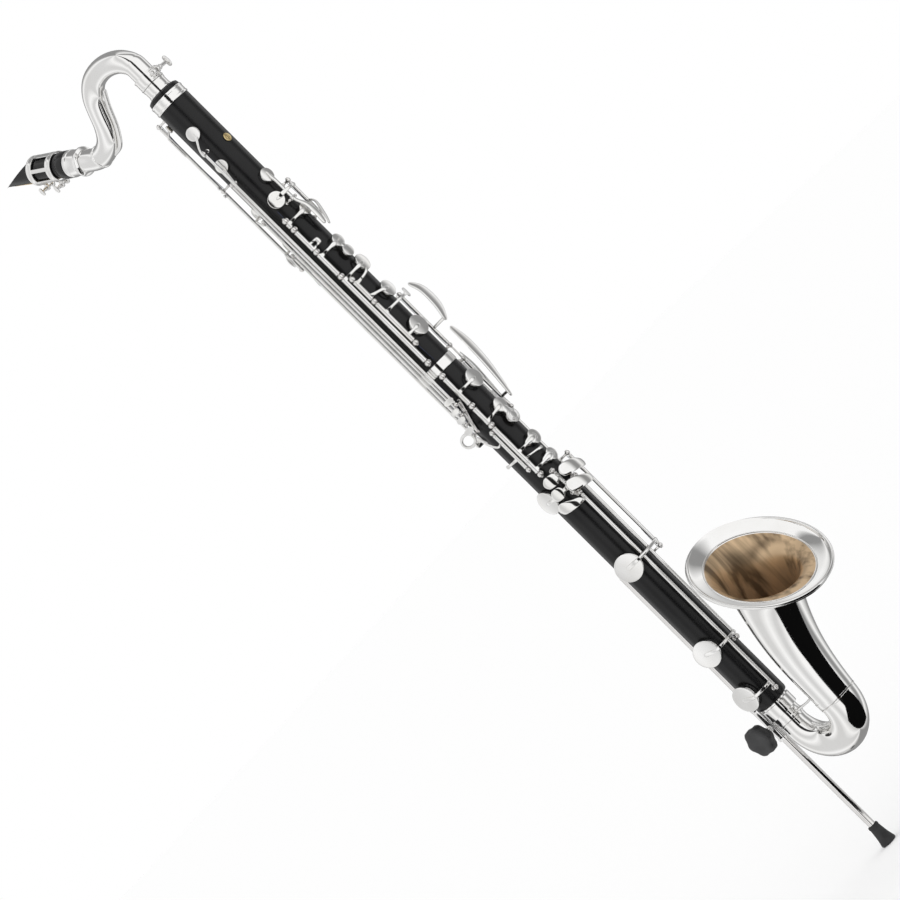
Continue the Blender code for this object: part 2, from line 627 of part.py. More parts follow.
def pinky_keys(silver):
    """Two oval touches beside the paddles; one works the slanting cup on the right."""
    hinge = HINGES["pinky"]
    mid = 535.2
    height = BODY_R + 9.2
    ovals = (("oval_key_1", (520.5, True), (mid, False), 528.0, [27, 34, 44, 54, 62]),
             ("oval_key_2", (mid, False), (548.8, True), 541.6, [38, 44, 53, 62, 68]))
    for name, upper, lower, down, angles in ovals:
        touch = plate(height, angles, [z_at(down - 0.6 * i) for i in range(5)], [7, 10, 12, 11, 6.5], 2.2)
        foot = arc_bar((hinge.radius + 0.5, 24, z_at(down)), (height, angles[1], z_at(down)), 4, 1.8, 0.8, 4)
        shapes = [touch, foot]
        if name == "oval_key_2":
            angle, hole_down, radius, _ = HOLES["pinky"]
            top = cup_bottom(False) + CUP_TALL
            shapes.append(cup(angle, hole_down, radius, False, sides=18))
            shapes.append(arc_bar((height, 62, z_at(down)), (top + 0.5, angle - 4, z_at(down)), 3.4, 2.0, 0.6, 6))
        key(name, silver, "pinky", upper, lower, shapes)


# Hinges that stand together share a base strap: its name, and the posts that the strap joins.
POST_SETS = {
    "upper_hinge": [("upper", 0)],
    "front_hinge": [("front", 0)],
    "lower_hinge": [("lower", 0)],
    "cross_hinge": [("cross", 0)],
    "throat_hinge": [("throat", 0)],
    "register_hinge": [("register", 0)],
    "left_lever_hinges": [("left", 2), ("left_low", 0)],
    "trill_hinges": [("trill_1", 1), ("trill_2", 1), ("trill_3", 1), ("trill_4", 1)],
    "low_hinges": [("pinky", 1), ("low_3", 0), ("low_2", 0), ("low_1", 0)],
}


def post_sets(steel):
    """The posts and axles of every hinge."""
    for name, members in POST_SETS.items():
        shapes = []
        for hinge_name, _ in members:
            shapes += HINGES[hinge_name].shapes()
        places = [(BODY_R + GAP + 1.04, HINGES[h].angle, z_at(HINGES[h].posts[i]) + 0.27) for h, i in members]
        for start, end in zip(places, places[1:]):
            shapes.append(arc_bar(start, end, 4.5, 1.4, 0.0, 5))
        piece(name, steel, shapes)


# ---- body, bands and fittings ---------------------------------------------------------------
def body_tube(black):
    """The long black tube: bore, rounded ends, seats for the bands and the tone holes."""
    groove = BAND_R - BAND_WALL - GAP
    top, bottom = TOP_Z, TOP_Z - BODY_LENGTH
    f0, f1 = top - LIP_DEEP, top - LIP_DEEP - TOP_BAND_TALL
    b0, b1 = (z_at(down) for down in CENTRE_BAND_AT)
    outer = [(BODY_R - 3.0, top), (BODY_R - 0.6, top - 1.5), (BODY_R, f0), (groove, f0), (groove, f1),
             (BODY_R, f1), (BODY_R, b0), (groove, b0), (groove, b1), (BODY_R, b1), (BODY_R, bottom + 3.0),
             (BODY_R - 1.5, bottom)]
    profile = [(r, z) for r, z in outer] + [(BORE_R, bottom), (BORE_R, top)]
    base = turned((0, AXIS_Y, 0), UP, profile, 24, loop=True)
    rims, holes = [], []
    for angle, down, radius, _ in HOLES.values():
        rim, hole = tone_rim(angle, down, radius * 0.86)
        rims.append(rim)
        holes.append(hole)
    piece("body_tube", black, [base] + rims, holes)


def band(name, material, upper, lower, inner, outer):
    """A silver ring round the body, with its outer edges broken."""
    profile = [(inner, upper), (inner, lower), (outer - 0.4, lower), (outer, lower + 0.5),
               (outer, upper - 0.5), (outer - 0.4, upper)]
    piece(name, material, [turned((0, AXIS_Y, 0), UP, profile, 24, loop=True)])


def bands(silver):
    inner = BAND_R - BAND_WALL
    top = TOP_Z - LIP_DEEP
    band("top_ferrule", silver, top - GAP, top - TOP_BAND_TALL + GAP, inner, BAND_R)
    upper, lower = (z_at(down) for down in CENTRE_BAND_AT)
    band("centre_band", silver, upper - GAP, lower + GAP, inner, BAND_R - 0.3)
    top = TOP_Z - BODY_LENGTH - GAP
    profile = [(BORE_R, top), (BORE_R, BOW_TOP + GAP), (FERRULE_R, BOW_TOP + GAP), (FERRULE_R, top)]
    piece("bell_socket_tube", silver, [turned((0, AXIS_Y, 0), UP, profile, 28, loop=True)])


def bell(silver):
    """The bow that turns the bore upwards, the flared bell, and the brace between them."""
    centre = np.array([0.0, AXIS_Y - BOW_TURN_R, BOW_TOP - 8.0])
    angles = np.linspace(0, pi, 10)
    arc = [centre + BOW_TURN_R * np.array([0.0, cos(q), -sin(q)]) for q in angles]
    path = np.array([[0.0, AXIS_Y, BOW_TOP]] + arc)
    radii = np.concatenate([[BOW_R], BOW_R + (BOW_END_R - BOW_R) * (angles / pi) ** 0.8])
    piece("bell_bow", silver, [pipe(path, radii, radii - BELL_WALL, -UP, UP, 16)])

    seam = arc[-1] + np.array([0.0, 0.0, GAP])
    lean = radians(BELL_LEAN)
    along = np.array([0.0, -sin(lean), cos(lean)])
    rim_centre = np.array([0.0, AXIS_Y - BELL_FORWARD, seam[2] + BELL_TALL])
    knots = [seam, seam + (0, -2.0, 32.0), seam + (0, -8.5, 65.0), seam + (0, -21.0, 95.0),
             rim_centre - along * 22.0, rim_centre - along * 4.0]
    share = 1 - (1 - np.linspace(0, 1, 14)) ** 1.6
    flare = BELL_R - BOW_END_R - 0.4 - 17.5
    radii = BOW_END_R + 0.4 + 17.5 * share ** 1.25 + flare * share ** 13
    rim = [rim_centre - along * 3.7, rim_centre - along * 0.8, rim_centre]
    line = np.vstack([smooth_path(knots, share), rim])
    outer = np.concatenate([radii, BELL_R + BELL_RIM_R * np.array([1.0, 1.0, 0.6])])
    inner = np.concatenate([radii, [BELL_R] * 3]) - BELL_WALL
    piece("bell_flare", silver, [pipe(line, outer, inner, UP, along, 24)])

    z = BOW_TOP + 2.6
    near = AXIS_Y - FERRULE_R - GAP
    far = seam[1] + BOW_END_R + GAP + 0.6
    bar = swept([(0, near, z), (0, (near + far) / 2, z + 1.5), (0, far, z + 3.0)], UP, 5.0, 3.0, 4)
    ends = [swept([(0, y, z - 5 + q), (0, y, z + 5 + q)], (0, 1, 0), 7.0, 1.4, 4)
            for y, q in ((near - 0.7, 0), (far + 0.7, 3.0))]
    piece("bell_brace", silver, [bar] + ends)


def neck(silver):
    """Receiver, clamp, S-shaped tube and the socket that the mouthpiece goes in."""
    base = TOP_Z
    profile = [(NECK_R + GAP, base + GAP), (NECK_R + GAP, base + RECEIVER_TALL), (RECEIVER_R, base + RECEIVER_TALL),
               (RECEIVER_R, base + GAP)]
    piece("neck_receiver", silver, [turned((0, AXIS_Y, 0), UP, profile, 28, loop=True)])

    low, high = base + RECEIVER_TALL + GAP, base + RECEIVER_TALL + 12.0
    ring = turned((0, AXIS_Y, 0), UP, [(NECK_R + GAP, low), (NECK_R + GAP, high), (RECEIVER_R + 0.6, high),
                                       (RECEIVER_R + 0.6, low)], 28, loop=True)
    mid = (low + high) / 2
    lugs = [rod((x, AXIS_Y - NECK_R - 4.6, mid), (x + 3.4, AXIS_Y - NECK_R - 4.6, mid), 3.6, 12)
            for x in (-4.6, 1.2)]
    webs = [swept([(x + 1.7, AXIS_Y - NECK_R - 0.9, mid), (x + 1.7, AXIS_Y - NECK_R - 4.6, mid)],
                  UP, 3.4, 7.2, 4) for x in (-4.6, 1.2)]
    slot = swept([(0, AXIS_Y - NECK_R + 2, mid), (0, AXIS_Y - NECK_R - 10, mid)], UP, 2.4, 30, 4)
    hole = rod((-9, AXIS_Y - NECK_R - 4.6, mid), (9, AXIS_Y - NECK_R - 4.6, mid), 1.5 + BORE_CLEAR, 10)
    piece("neck_clamp", silver, [ring] + webs + lugs, [slot, hole])

    y = AXIS_Y - NECK_R - 4.6
    shaft = rod((-6.6, y, mid), (11.5, y, mid), 1.5, 10)
    collar = rod((5.2, y, mid), (12.5, y, mid), 2.6, 12)
    head = swept([(19.5, y, mid - 6.2), (19.5, y, mid), (19.5, y, mid + 6.2)], (1, 0, 0), [4.5, 6.5, 4.5], 2.6, 8)
    neck_bit = rod((12.0, y, mid), (18.8, y, mid), 1.9, 10)
    piece("clamp_screw", silver, [shaft, collar, neck_bit, head])

    knots = [(0, 0, 2), (0, 0, 33.0), (0, 0.8, 37.0), (0, 3.8, 42.5), (0, 14.5, 52.0), (0, 34.5, 59.3), (0, 57.7, 59.5),
             (0, 74.7, 51.0), (0, 84.5, 39.0), (0, 95.0, 22.9), (0, 111.0, 10.4), (0, 134.0, 7.9),
             tuple(SOCKET_START)]
    origin = np.array([0.0, AXIS_Y, TOP_Z])
    line = smooth_path([np.array(k) for k in knots], 23) + origin
    tube = along_line(line, NECK_R)
    rib_knots = np.array([(0, 57.0, 46.0), (0, 70.0, 33.0), (0, 84.0, 14.0), (0, 100.0, 0.5), (0, 116.0, -2.0)])
    rib_knots = rib_knots + np.array([0, 0.5, 0.85]) * (DRAWN_NECK_R - NECK_R)
    rib_line = smooth_path([np.array(k) for k in rib_knots], 9) + origin
    rib = swept(rib_line, (1, 0, 0), [1.5, 3.5, 4.2, 4.2, 4.2, 4.2, 4.2, 3.5, 1.5], 4.6, 6)
    ends = np.vstack([2 * line[0] - line[1], line, 2 * line[-1] - line[-2]])
    piece("neck_tube", silver, [tube, rib], [along_line(ends, NECK_R - NECK_WALL)])

    start = origin + SOCKET_START + MOUTH_DIR * GAP
    profile = [(MOUTHPIECE_R - 1.6, 0), (MOUTHPIECE_R - 1.6, 22.0), (SOCKET_R - 0.5, 22.0), (SOCKET_R, 21.0),
               (SOCKET_R, 4.5), (SOCKET_R + 1.0, 3.5), (SOCKET_R + 1.0, 1.5), (NECK_R, 0)]
    piece("neck_socket", silver, [turned(start, MOUTH_DIR, profile, 28, loop=True)])


def along_line(line, radius, sides=14):
    """A solid round bar along the neck's line: its outside, and the air column cut from it."""
    _, side, out = path_frames(line, (1, 0, 0))
    t = np.arange(sides) * 2 * pi / sides
    rings = [p + radius * (np.outer(np.cos(t), s) + np.outer(np.sin(t), o)) for p, s, o in zip(line, side, out)]
    return rings_to_shape(rings)


def mouthpiece(black, cane, silver):
    """Mouthpiece with its beak, the reed under it, the ligature and its two screws."""
    origin = np.array([0.0, AXIS_Y, TOP_Z]) + SOCKET_START + MOUTH_DIR * GAP
    down = np.array([0.0, sin(MOUTH_ANGLE), -cos(MOUTH_ANGLE)])
    length = 115.0

    def at(along, below=0.0, x=0.0):
        return origin + MOUTH_DIR * along + down * below + np.array([x, 0.0, 0.0])

    tenon_r = MOUTHPIECE_R - 1.6 - GAP
    profile = [(tenon_r, 2.0), (tenon_r, 22.0 + GAP), (SOCKET_R - 0.6, 22.0 + GAP), (SOCKET_R, 24.0),
               (SOCKET_R, 31.0), (MOUTHPIECE_R, 33.5), (MOUTHPIECE_R - 0.4, 74.0), (MOUTHPIECE_R - 1.5, length)]
    flat = MOUTHPIECE_R - 4.2
    table = swept([at(30, flat + 10), at(length + 5, flat + 10)], down, 40, 20, 4)
    beak = swept([at(70, -29.6), at(length + 6, -29.6 + 27.0)], down, 40, 25, 4)
    bore = [(7.5, -2.0), (7.5, 66.0), (3.6, 88.0)]
    piece("mouthpiece", black, [turned(origin, MOUTH_DIR, profile, 28)],
          [table, beak, turned(origin, MOUTH_DIR, bore, 16)])

    reed_path = [at(40, flat + 1.65), at(78, flat + 1.65), at(length - 1.0, flat + 0.75)]
    piece("reed", cane, [swept(reed_path, down, [11.5, 12, 13.5], [2.6, 2.6, 0.6], 4)])

    outer, inner = MOUTHPIECE_R + 2.6, MOUTHPIECE_R + 0.9
    ring = turned(at(38), MOUTH_DIR, [(inner, 0), (inner, 36.0), (outer, 36.0), (outer, 0)], 20, loop=True)
    windows = [swept([at(44, -6, x), at(68, -6, x)], down, 14, 10, 4) for x in (-16, 16)]
    split = swept([at(30, inner + 1), at(80, inner + 1)], down, 4.0, 8, 4)
    lugs, holes = [], []
    for along in (45.0, 67.0):
        lugs += [rod(at(along, outer + 2.6, x), at(along, outer + 2.6, x + 2.8), 3.0, 10) for x in (-5.4, 2.6)]
        lugs += [swept([at(along, outer - 1.2, x + 1.4), at(along, outer + 2.6, x + 1.4)], (1, 0, 0), 5.4, 2.8, 4)
                 for x in (-5.4, 2.6)]
        holes.append(rod(at(along, outer + 2.6, -9), at(along, outer + 2.6, 9), 1.2 + BORE_CLEAR, 8))
    piece("ligature", silver, [ring] + lugs, windows + [split] + holes)
    for name, along in (("ligature_screw_1", 45.0), ("ligature_screw_2", 67.0)):
        y = outer + 2.6
        shapes = [rod(at(along, y, -8.5), at(along, y, 6.4), 1.2, 8), rod(at(along, y, -9.6), at(along, y, -5.9), 2.0, 8),
                  swept([at(along - 4.6, y, -13.4), at(along, y, -13.0), at(along + 4.6, y, -13.4)], (1, 0, 0),
                        [5, 7, 5], 2.4, 8),
                  rod(at(along, y, -12.8), at(along, y, -9.0), 1.4, 8)]
        piece(name, silver, shapes)


def floor_peg(silver, rubber, black):
    """The peg with its clamp on the socket tube, its knob and its rubber foot."""
    low, high = TOP_Z - BODY_LENGTH - 37.0, TOP_Z - BODY_LENGTH + 6.0
    profile = [(PEG_R + GAP, low), (PEG_R + GAP, high), (PEG_R + 1.9, high), (PEG_R + 1.9, low)]
    sleeve = turned((0, 0, 0), UP, profile, 14, loop=True)
    bottom = TOP_Z - BODY_LENGTH
    web_top, web_low = bottom - 2.0, bottom - 14.5
    web = swept([(0, -PEG_R - 1.3, (web_top + web_low) / 2), (0, AXIS_Y + FERRULE_R - 2.0, (web_top + web_low) / 2)],
                UP, 5.0, web_top - web_low, 4)
    ring = turned((0, AXIS_Y, 0), UP, [(FERRULE_R + GAP, web_low), (FERRULE_R + GAP, web_top),
                                       (FERRULE_R + 2.0, web_top), (FERRULE_R + 2.0, web_low)], 20, loop=True)
    knob_z = bottom - 20.0
    boss = rod((-PEG_R - 6.0, 0, knob_z), (-PEG_R - 0.9, 0, knob_z), 3.8, 12)
    clear = rod((0, 0, low - 2), (0, 0, high + 2), PEG_R + GAP, 14)
    socket = rod((0, AXIS_Y, web_low - 3), (0, AXIS_Y, web_top + 3), FERRULE_R + GAP, 20)
    thread = rod((-20, 0, knob_z), (0, 0, knob_z), 2.0 + GAP, 10)
    piece("peg_clamp", silver, [sleeve, web, boss, ring], [clear, socket, thread])

    foot_top = 24.0
    top = z_at(642.0)
    piece("peg_rod", silver, [turned((0, 0, 0), UP, [(PEG_R, foot_top - 12.0), (PEG_R, top - 1), (PEG_R - 1, top)], 12)])
    profile = [(8.2, 0), (8.6, 1.5), (8.0, 4.0), (5.6, foot_top - 1.5), (5.0, foot_top),
               (PEG_R + GAP, foot_top), (PEG_R + GAP, foot_top - 12.0 - GAP), (0.01, foot_top - 12.0 - GAP)]
    piece("peg_foot", rubber, [turned((0, 0, 0), UP, profile, 16)])

    stem = rod((-19.0, 0, knob_z), (-PEG_R - GAP - 0.2, 0, knob_z), 2.0, 10)
    t = np.arange(36) * 2 * pi / 36
    lobes = KNOB_R * (0.9 + 0.1 * np.cos(6 * t))
    rings = []
    for x, share in ((-18.0, 0.86), (-20.0, 1.0), (-27.5, 1.0), (-29.5, 0.84)):
        rings.append(np.stack([np.full_like(t, x), share * lobes * np.cos(t), knob_z + share * lobes * np.sin(t)], 1))
    piece("peg_knob", black, [rings_to_shape(rings), stem])


def thumb_rest(silver):
    """The thumb rest on the back with the ring that the neck strap hooks into."""
    angle, z = 160.0, z_at(444.7)
    r = BODY_R + GAP
    base = long_plate([r + 1.0] * 2, angle, [z - 12, z + 12], 11, 2.0, 4)
    hook = arc_bar((r + 1.5, angle, z - 9), (r + 9.5, angle - 22, z - 9), 7, 2.6, 1.0, 5)
    d = outward(angle)
    centre = polar(r + 15.5, angle, z)
    t = np.linspace(0, 2 * pi, 19)[:-1]
    path = [centre + d * 7.6 * cos(q) + UP * 6.6 * sin(q) for q in t]
    across = np.cross(d, UP)
    k = np.arange(6) * 2 * pi / 6
    rings = []
    for q, p in zip(t, path):
        out = unit(d * cos(q) + UP * sin(q))
        rings.append(p + 1.5 * (np.outer(np.cos(k), out) + np.outer(np.sin(k), across)))
    loop = rings_to_shape(rings, loop=True)
    stalk = rod(polar(r + 1.0, angle, z), polar(r + 8.0, angle, z), 2.4, 8)
    piece("thumb_rest", silver, [base, hook, stalk, loop])


def emblem(gold):
    """A small plain inlaid disc on the front of the upper body."""
    angle, down = -7.0, 75.6
    origin = np.array([0.0, AXIS_Y, z_at(down)])
    r = BODY_R + GAP
    piece("emblem", gold, [turned(origin, outward(angle), [(4.6, r), (4.6, r + 0.4), (3.8, r + 0.6)], 20)])


def build():
    clear_scene()
    silver = finish_material("silver_plate", (0.86, 0.85, 0.83), 1.0, 0.14)
    steel = finish_material("steel", (0.78, 0.77, 0.75), 1.0, 0.2)
    black = finish_material("black_resin", (0.02, 0.02, 0.022), 0.0, 0.38)
    rubber = finish_material("rubber", (0.025, 0.025, 0.027), 0.0, 0.7)
    cane = finish_material("cane", (0.72, 0.56, 0.3), 0.0, 0.6)
    gold = finish_material("gold", (0.78, 0.6, 0.28), 1.0, 0.3)
    body_tube(black)
    bands(silver)
    bell(silver)
    neck(silver)
    mouthpiece(black, cane, silver)
    floor_peg(silver, rubber, black)
    thumb_rest(silver)
    emblem(gold)
    stack_keys(silver)
    cross_key(silver)
    trill_keys(silver)
    left_levers(silver)
    throat_keys(silver)
    register_keys(silver)
    low_keys(silver)
    pinky_keys(silver)
    post_sets(steel)


build()
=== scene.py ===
from math import cos, pi, radians, sin

import bpy
import numpy as np
from mathutils import Matrix, Vector


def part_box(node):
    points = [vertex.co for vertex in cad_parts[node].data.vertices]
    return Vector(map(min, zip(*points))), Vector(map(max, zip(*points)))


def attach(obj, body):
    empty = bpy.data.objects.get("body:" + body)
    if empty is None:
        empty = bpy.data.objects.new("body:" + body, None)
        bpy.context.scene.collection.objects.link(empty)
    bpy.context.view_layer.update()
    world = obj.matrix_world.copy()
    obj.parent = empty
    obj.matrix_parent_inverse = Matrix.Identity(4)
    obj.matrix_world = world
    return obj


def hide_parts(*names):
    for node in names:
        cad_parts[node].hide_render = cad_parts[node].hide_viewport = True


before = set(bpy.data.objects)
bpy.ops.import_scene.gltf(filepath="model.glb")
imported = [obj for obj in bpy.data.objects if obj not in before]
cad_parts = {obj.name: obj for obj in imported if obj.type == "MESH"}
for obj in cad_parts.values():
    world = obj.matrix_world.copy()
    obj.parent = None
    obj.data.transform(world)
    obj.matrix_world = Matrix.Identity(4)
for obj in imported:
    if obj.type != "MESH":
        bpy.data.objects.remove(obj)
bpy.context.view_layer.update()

# ---- Camera ---------------------------------------------------------------------------------
# A long lens looks at the front right of the instrument from a little over three metres away.
# It is rolled by 45 degrees, so that the upright body runs from the upper left to the lower right.
EYE = Vector((-2.19986, -2.55816, 0.6579))
HEADING, TILT, ROLL = radians(40.17), radians(-1.463), radians(45.18)
ahead = Vector((sin(HEADING) * cos(TILT), cos(HEADING) * cos(TILT), sin(TILT)))
level_right = ahead.cross(Vector((0, 0, 1))).normalized()
level_up = level_right.cross(ahead)
right = level_right * cos(ROLL) - level_up * sin(ROLL)
above = level_up * cos(ROLL) + level_right * sin(ROLL)
camera_data = bpy.data.cameras.new("camera")
camera_data.lens, camera_data.sensor_width, camera_data.clip_end = 139.53, 36.0, 40.0
camera = bpy.data.objects.new("camera", camera_data)
bpy.context.collection.objects.link(camera)
camera.matrix_world = Matrix((
    (right.x, above.x, -ahead.x, EYE.x), (right.y, above.y, -ahead.y, EYE.y),
    (right.z, above.z, -ahead.z, EYE.z), (0, 0, 0, 1)))
bpy.context.scene.camera = camera
bpy.context.scene.view_settings.view_transform = "Standard"


# ---- Floor, light and dark cards ---------------------------------------------------------------
# The room is white all round, with a pale floor. Bright metal shows only what it reflects, so
# narrow dark cards stand round the room and in front of the bell, and only reflections see them.
FLOOR_SHADE = 0.99
floor_mesh = bpy.data.meshes.new("floor")
floor_mesh.from_pydata([(-9, -9, 0), (9, -9, 0), (9, 9, 0), (-9, 9, 0)], [], [(0, 1, 2, 3)])
floor = bpy.data.objects.new("floor", floor_mesh)
bpy.context.collection.objects.link(floor)


def new_material(name):
    """An empty node material, with its tree and its Principled shader."""
    made = bpy.data.materials.new(name)
    made.use_nodes = True
    return made, made.node_tree, made.node_tree.nodes["Principled BSDF"]


def wire(tree, *pairs):
    """Links each output to its input."""
    for output, socket in pairs:
        tree.links.new(output, socket)


floor_paint, _, shader = new_material("pale_floor")
shader.inputs["Base Color"].default_value = (FLOOR_SHADE, FLOOR_SHADE, FLOOR_SHADE, 1)
shader.inputs["Roughness"].default_value = 1.0
shader.inputs["Specular IOR Level"].default_value = 0.0
floor_mesh.materials.append(floor_paint)

world = bpy.data.worlds.new("white_room")
bpy.context.scene.world = world
world.use_nodes = True
tree = world.node_tree
tree.nodes.clear()
coordinates = tree.nodes.new("ShaderNodeTexCoord")
split = tree.nodes.new("ShaderNodeSeparateXYZ")
bearing = tree.nodes.new("ShaderNodeMath")
bearing.operation = "ARCTAN2"
share = tree.nodes.new("ShaderNodeMapRange")
cards = tree.nodes.new("ShaderNodeValToRGB")
paths = tree.nodes.new("ShaderNodeLightPath")
chosen = tree.nodes.new("ShaderNodeMix")
chosen.data_type = "RGBA"
sky = tree.nodes.new("ShaderNodeBackground")
world_out = tree.nodes.new("ShaderNodeOutputWorld")
share.inputs["From Min"].default_value, share.inputs["From Max"].default_value = -pi, pi
chosen.inputs[6].default_value = (1, 1, 1, 1)
sky.inputs["Strength"].default_value = 1.0
wire(tree, (coordinates.outputs["Generated"], split.inputs[0]),
     (split.outputs["X"], bearing.inputs[0]), (split.outputs["Y"], bearing.inputs[1]),
     (bearing.outputs[0], share.inputs["Value"]), (share.outputs[0], cards.inputs["Fac"]),
     (paths.outputs["Is Glossy Ray"], chosen.inputs["Factor"]),
     (cards.outputs["Color"], chosen.inputs[7]), (chosen.outputs[2], sky.inputs["Color"]),
     (sky.outputs[0], world_out.inputs[0]))
# Each card: its middle's bearing in degrees, its half width, its shade and the width of its soft edge.
CARDS = ((-139, 9, 0.012, 1.2), (-88, 4, 0.7, 18), (-38, 8, 0.72, 18), (42, 26, 0.3, 30),
         (122, 8, 0.3, 16))
stops = cards.color_ramp.elements
stops[0].position, stops[0].color = 0.0, (1, 1, 1, 1)
stops[1].position, stops[1].color = 1.0, (1, 1, 1, 1)
for middle, half, shade, edge in CARDS:
    for turn, tone in ((-half - edge, 1.0), (-half, shade), (half, shade), (half + edge, 1.0)):
        stop = stops.new(((middle + turn) / 360 + 0.5) % 1.0)
        stop.color = (tone, tone, tone, 1)

# The card in front of the bell lies on the floor and turns up at its far edge: y and z follow a
# quarter circle's end on a straight run, and it widens with the distance.
CARD_ROWS, CARD_COLUMNS, CARD_FLAT = 24, 12, 0.55
run, width = np.meshgrid(np.linspace(0, 1, CARD_ROWS), np.linspace(-1, 1, CARD_COLUMNS), indexing="ij")
bend = np.clip(run - CARD_FLAT, 0, 1) / 0.45 * pi / 2
card_y = -0.10 - 0.72 * np.minimum(run, CARD_FLAT) - 0.22 * np.sin(bend)
card_z = 0.004 + 0.24 * (1 - np.cos(bend))
card_x = -0.03 + width * (0.13 + 0.2 * run)
card_points = np.stack([card_x, card_y, card_z], -1).reshape(-1, 3)
row, column = np.meshgrid(np.arange(CARD_ROWS - 1), np.arange(CARD_COLUMNS - 1), indexing="ij")
corner = (row * CARD_COLUMNS + column).reshape(-1)
card_mesh = bpy.data.meshes.new("dark_card")
beyond = corner + CARD_COLUMNS
card_faces = np.stack([corner, beyond, beyond + 1, corner + 1], 1)
card_mesh.from_pydata(card_points.tolist(), [], card_faces.tolist())
card = bpy.data.objects.new("dark_card", card_mesh)
bpy.context.collection.objects.link(card)
card_paint, _, shader = new_material("dark_card")
shader.inputs["Base Color"].default_value = (0.004, 0.004, 0.004, 1)
shader.inputs["Specular IOR Level"].default_value = 0.0
card_mesh.materials.append(card_paint)
for sight in ("visible_camera", "visible_diffuse", "visible_shadow", "visible_transmission"):
    setattr(card, sight, False)
floor.visible_glossy = False

# ---- Body ------------------------------------------------------------------------------------
# A long tube of black resin, turned on a lathe and drilled, with rounded ends and seats for its
# bands. A raised chimney stands round every tone hole for the pad to close on.
MM = 0.001
band_low, band_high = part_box("centre_band")
body_low, body_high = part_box("body_tube")
AXIS_Y = (band_low.y + band_high.y) / 2 / MM
RECEIVER_TALL = 11.5
BODY_R = (band_high.x - band_low.x) / 2 / MM - 0.6
TOP = body_high.z / MM
BODY_LONG = (body_high.z - body_low.z) / MM
STATION = BODY_LONG / 829.0
GAP, BORE_R, RIM_OUT = 0.35, 12.0, 1.3
UP = np.array([0.0, 0.0, 1.0])


def z_at(down):
    """Height of a place this far down the body."""
    return TOP - np.asarray(down, float) * STATION


def polar(radius, angle, z):
    """Points at a radius and angle round the bore: (-r sin a, axis - r cos a, z)."""
    a = np.radians(angle)
    return np.stack(np.broadcast_arrays(-radius * np.sin(a), AXIS_Y - radius * np.cos(a), z), -1)


def spot(radius, angle, down):
    """A place at a radius and angle round the bore, this far down the body."""
    return polar(radius, angle, z_at(down))


def outward(angle):
    """The direction straight out of the body: (-sin a, -cos a, 0)."""
    a = np.radians(angle)
    return np.stack(np.broadcast_arrays(-np.sin(a), -np.cos(a), 0.0), -1)


def unit(v):
    return np.asarray(v, float) / np.linalg.norm(v)


def side_of(direction):
    """Two unit vectors square to a direction and to each other."""
    d = unit(direction)
    a = unit(np.cross(UP if abs(d[2]) < 0.9 else np.array([0.0, -1.0, 0.0]), d))
    return a, np.cross(d, a)


def skin(rings, loop=False):
    """A closed surface over rings[row, column]: quads between rings and a flat cap at each end.

    It is turned so that the sum of a . (b x c) / 6 over its triangles, its volume, is positive.
    """
    rows, columns = rings.shape[:2]
    row, column = np.meshgrid(np.arange(rows if loop else rows - 1), np.arange(columns), indexing="ij")
    after, beside = (row + 1) % rows, (column + 1) % columns
    quads = np.stack([row * columns + column, row * columns + beside, after * columns + beside,
                      after * columns + column], -1).reshape(-1, 4)
    first = np.arange(columns)
    caps = np.zeros((0, columns), int) if loop else np.stack([first[::-1], first + (rows - 1) * columns])
    points = rings.reshape(-1, 3)
    middle = points.mean(0)
    p = points - middle
    triangles = [quads[:, [0, 1, 2]], quads[:, [0, 2, 3]]]
    for cap in caps:
        triangles.append(np.stack([np.full(columns - 2, cap[0]), cap[1:-1], cap[2:]], 1))
    t = np.vstack(triangles)
    volume = np.einsum("ij,ij->i", p[t[:, 0]], np.cross(p[t[:, 1]], p[t[:, 2]])).sum()
    if volume < 0:
        quads, caps = quads[:, ::-1], caps[:, ::-1]
    return points, quads, caps


def eased(corners, radius, steps=4, loop=False):
    """A profile with each corner c rounded by (1-t)^2 p + 2t(1-t) c + t^2 q, p and q a radius away."""
    c = np.asarray(corners, float)

    def toward(other):
        gap = other - c
        length = np.maximum(np.linalg.norm(gap, axis=1, keepdims=True), 1e-9)
        return c + gap / length * np.minimum(radius, 0.45 * length)

    p, q = toward(np.roll(c, 1, 0)), toward(np.roll(c, -1, 0))
    t = np.linspace(0, 1, steps)[None, :, None]
    curve = (1 - t) ** 2 * p[:, None] + 2 * t * (1 - t) * c[:, None] + t ** 2 * q[:, None]
    curve = curve.reshape(-1, c.shape[1])
    return curve if loop else np.vstack([c[:1], curve[steps:-steps], c[-1:]])


def turned(origin, direction, profile, sides=36, loop=False):
    """A profile swung round a line: origin + along d + radius (cos t a + sin t b)."""
    profile = np.asarray(profile, float)
    a, b = side_of(direction)
    t = np.arange(sides) * 2 * pi / sides
    circle = np.outer(np.cos(t), a) + np.outer(np.sin(t), b)
    rings = (np.asarray(origin, float) + profile[:, 1, None, None] * unit(direction)
             + profile[:, 0, None, None] * circle)
    return skin(rings, loop)


def lathe(profile, sides):
    """A closed profile swung round the bore's own axis."""
    return turned((0, AXIS_Y, 0), UP, profile, sides, True)


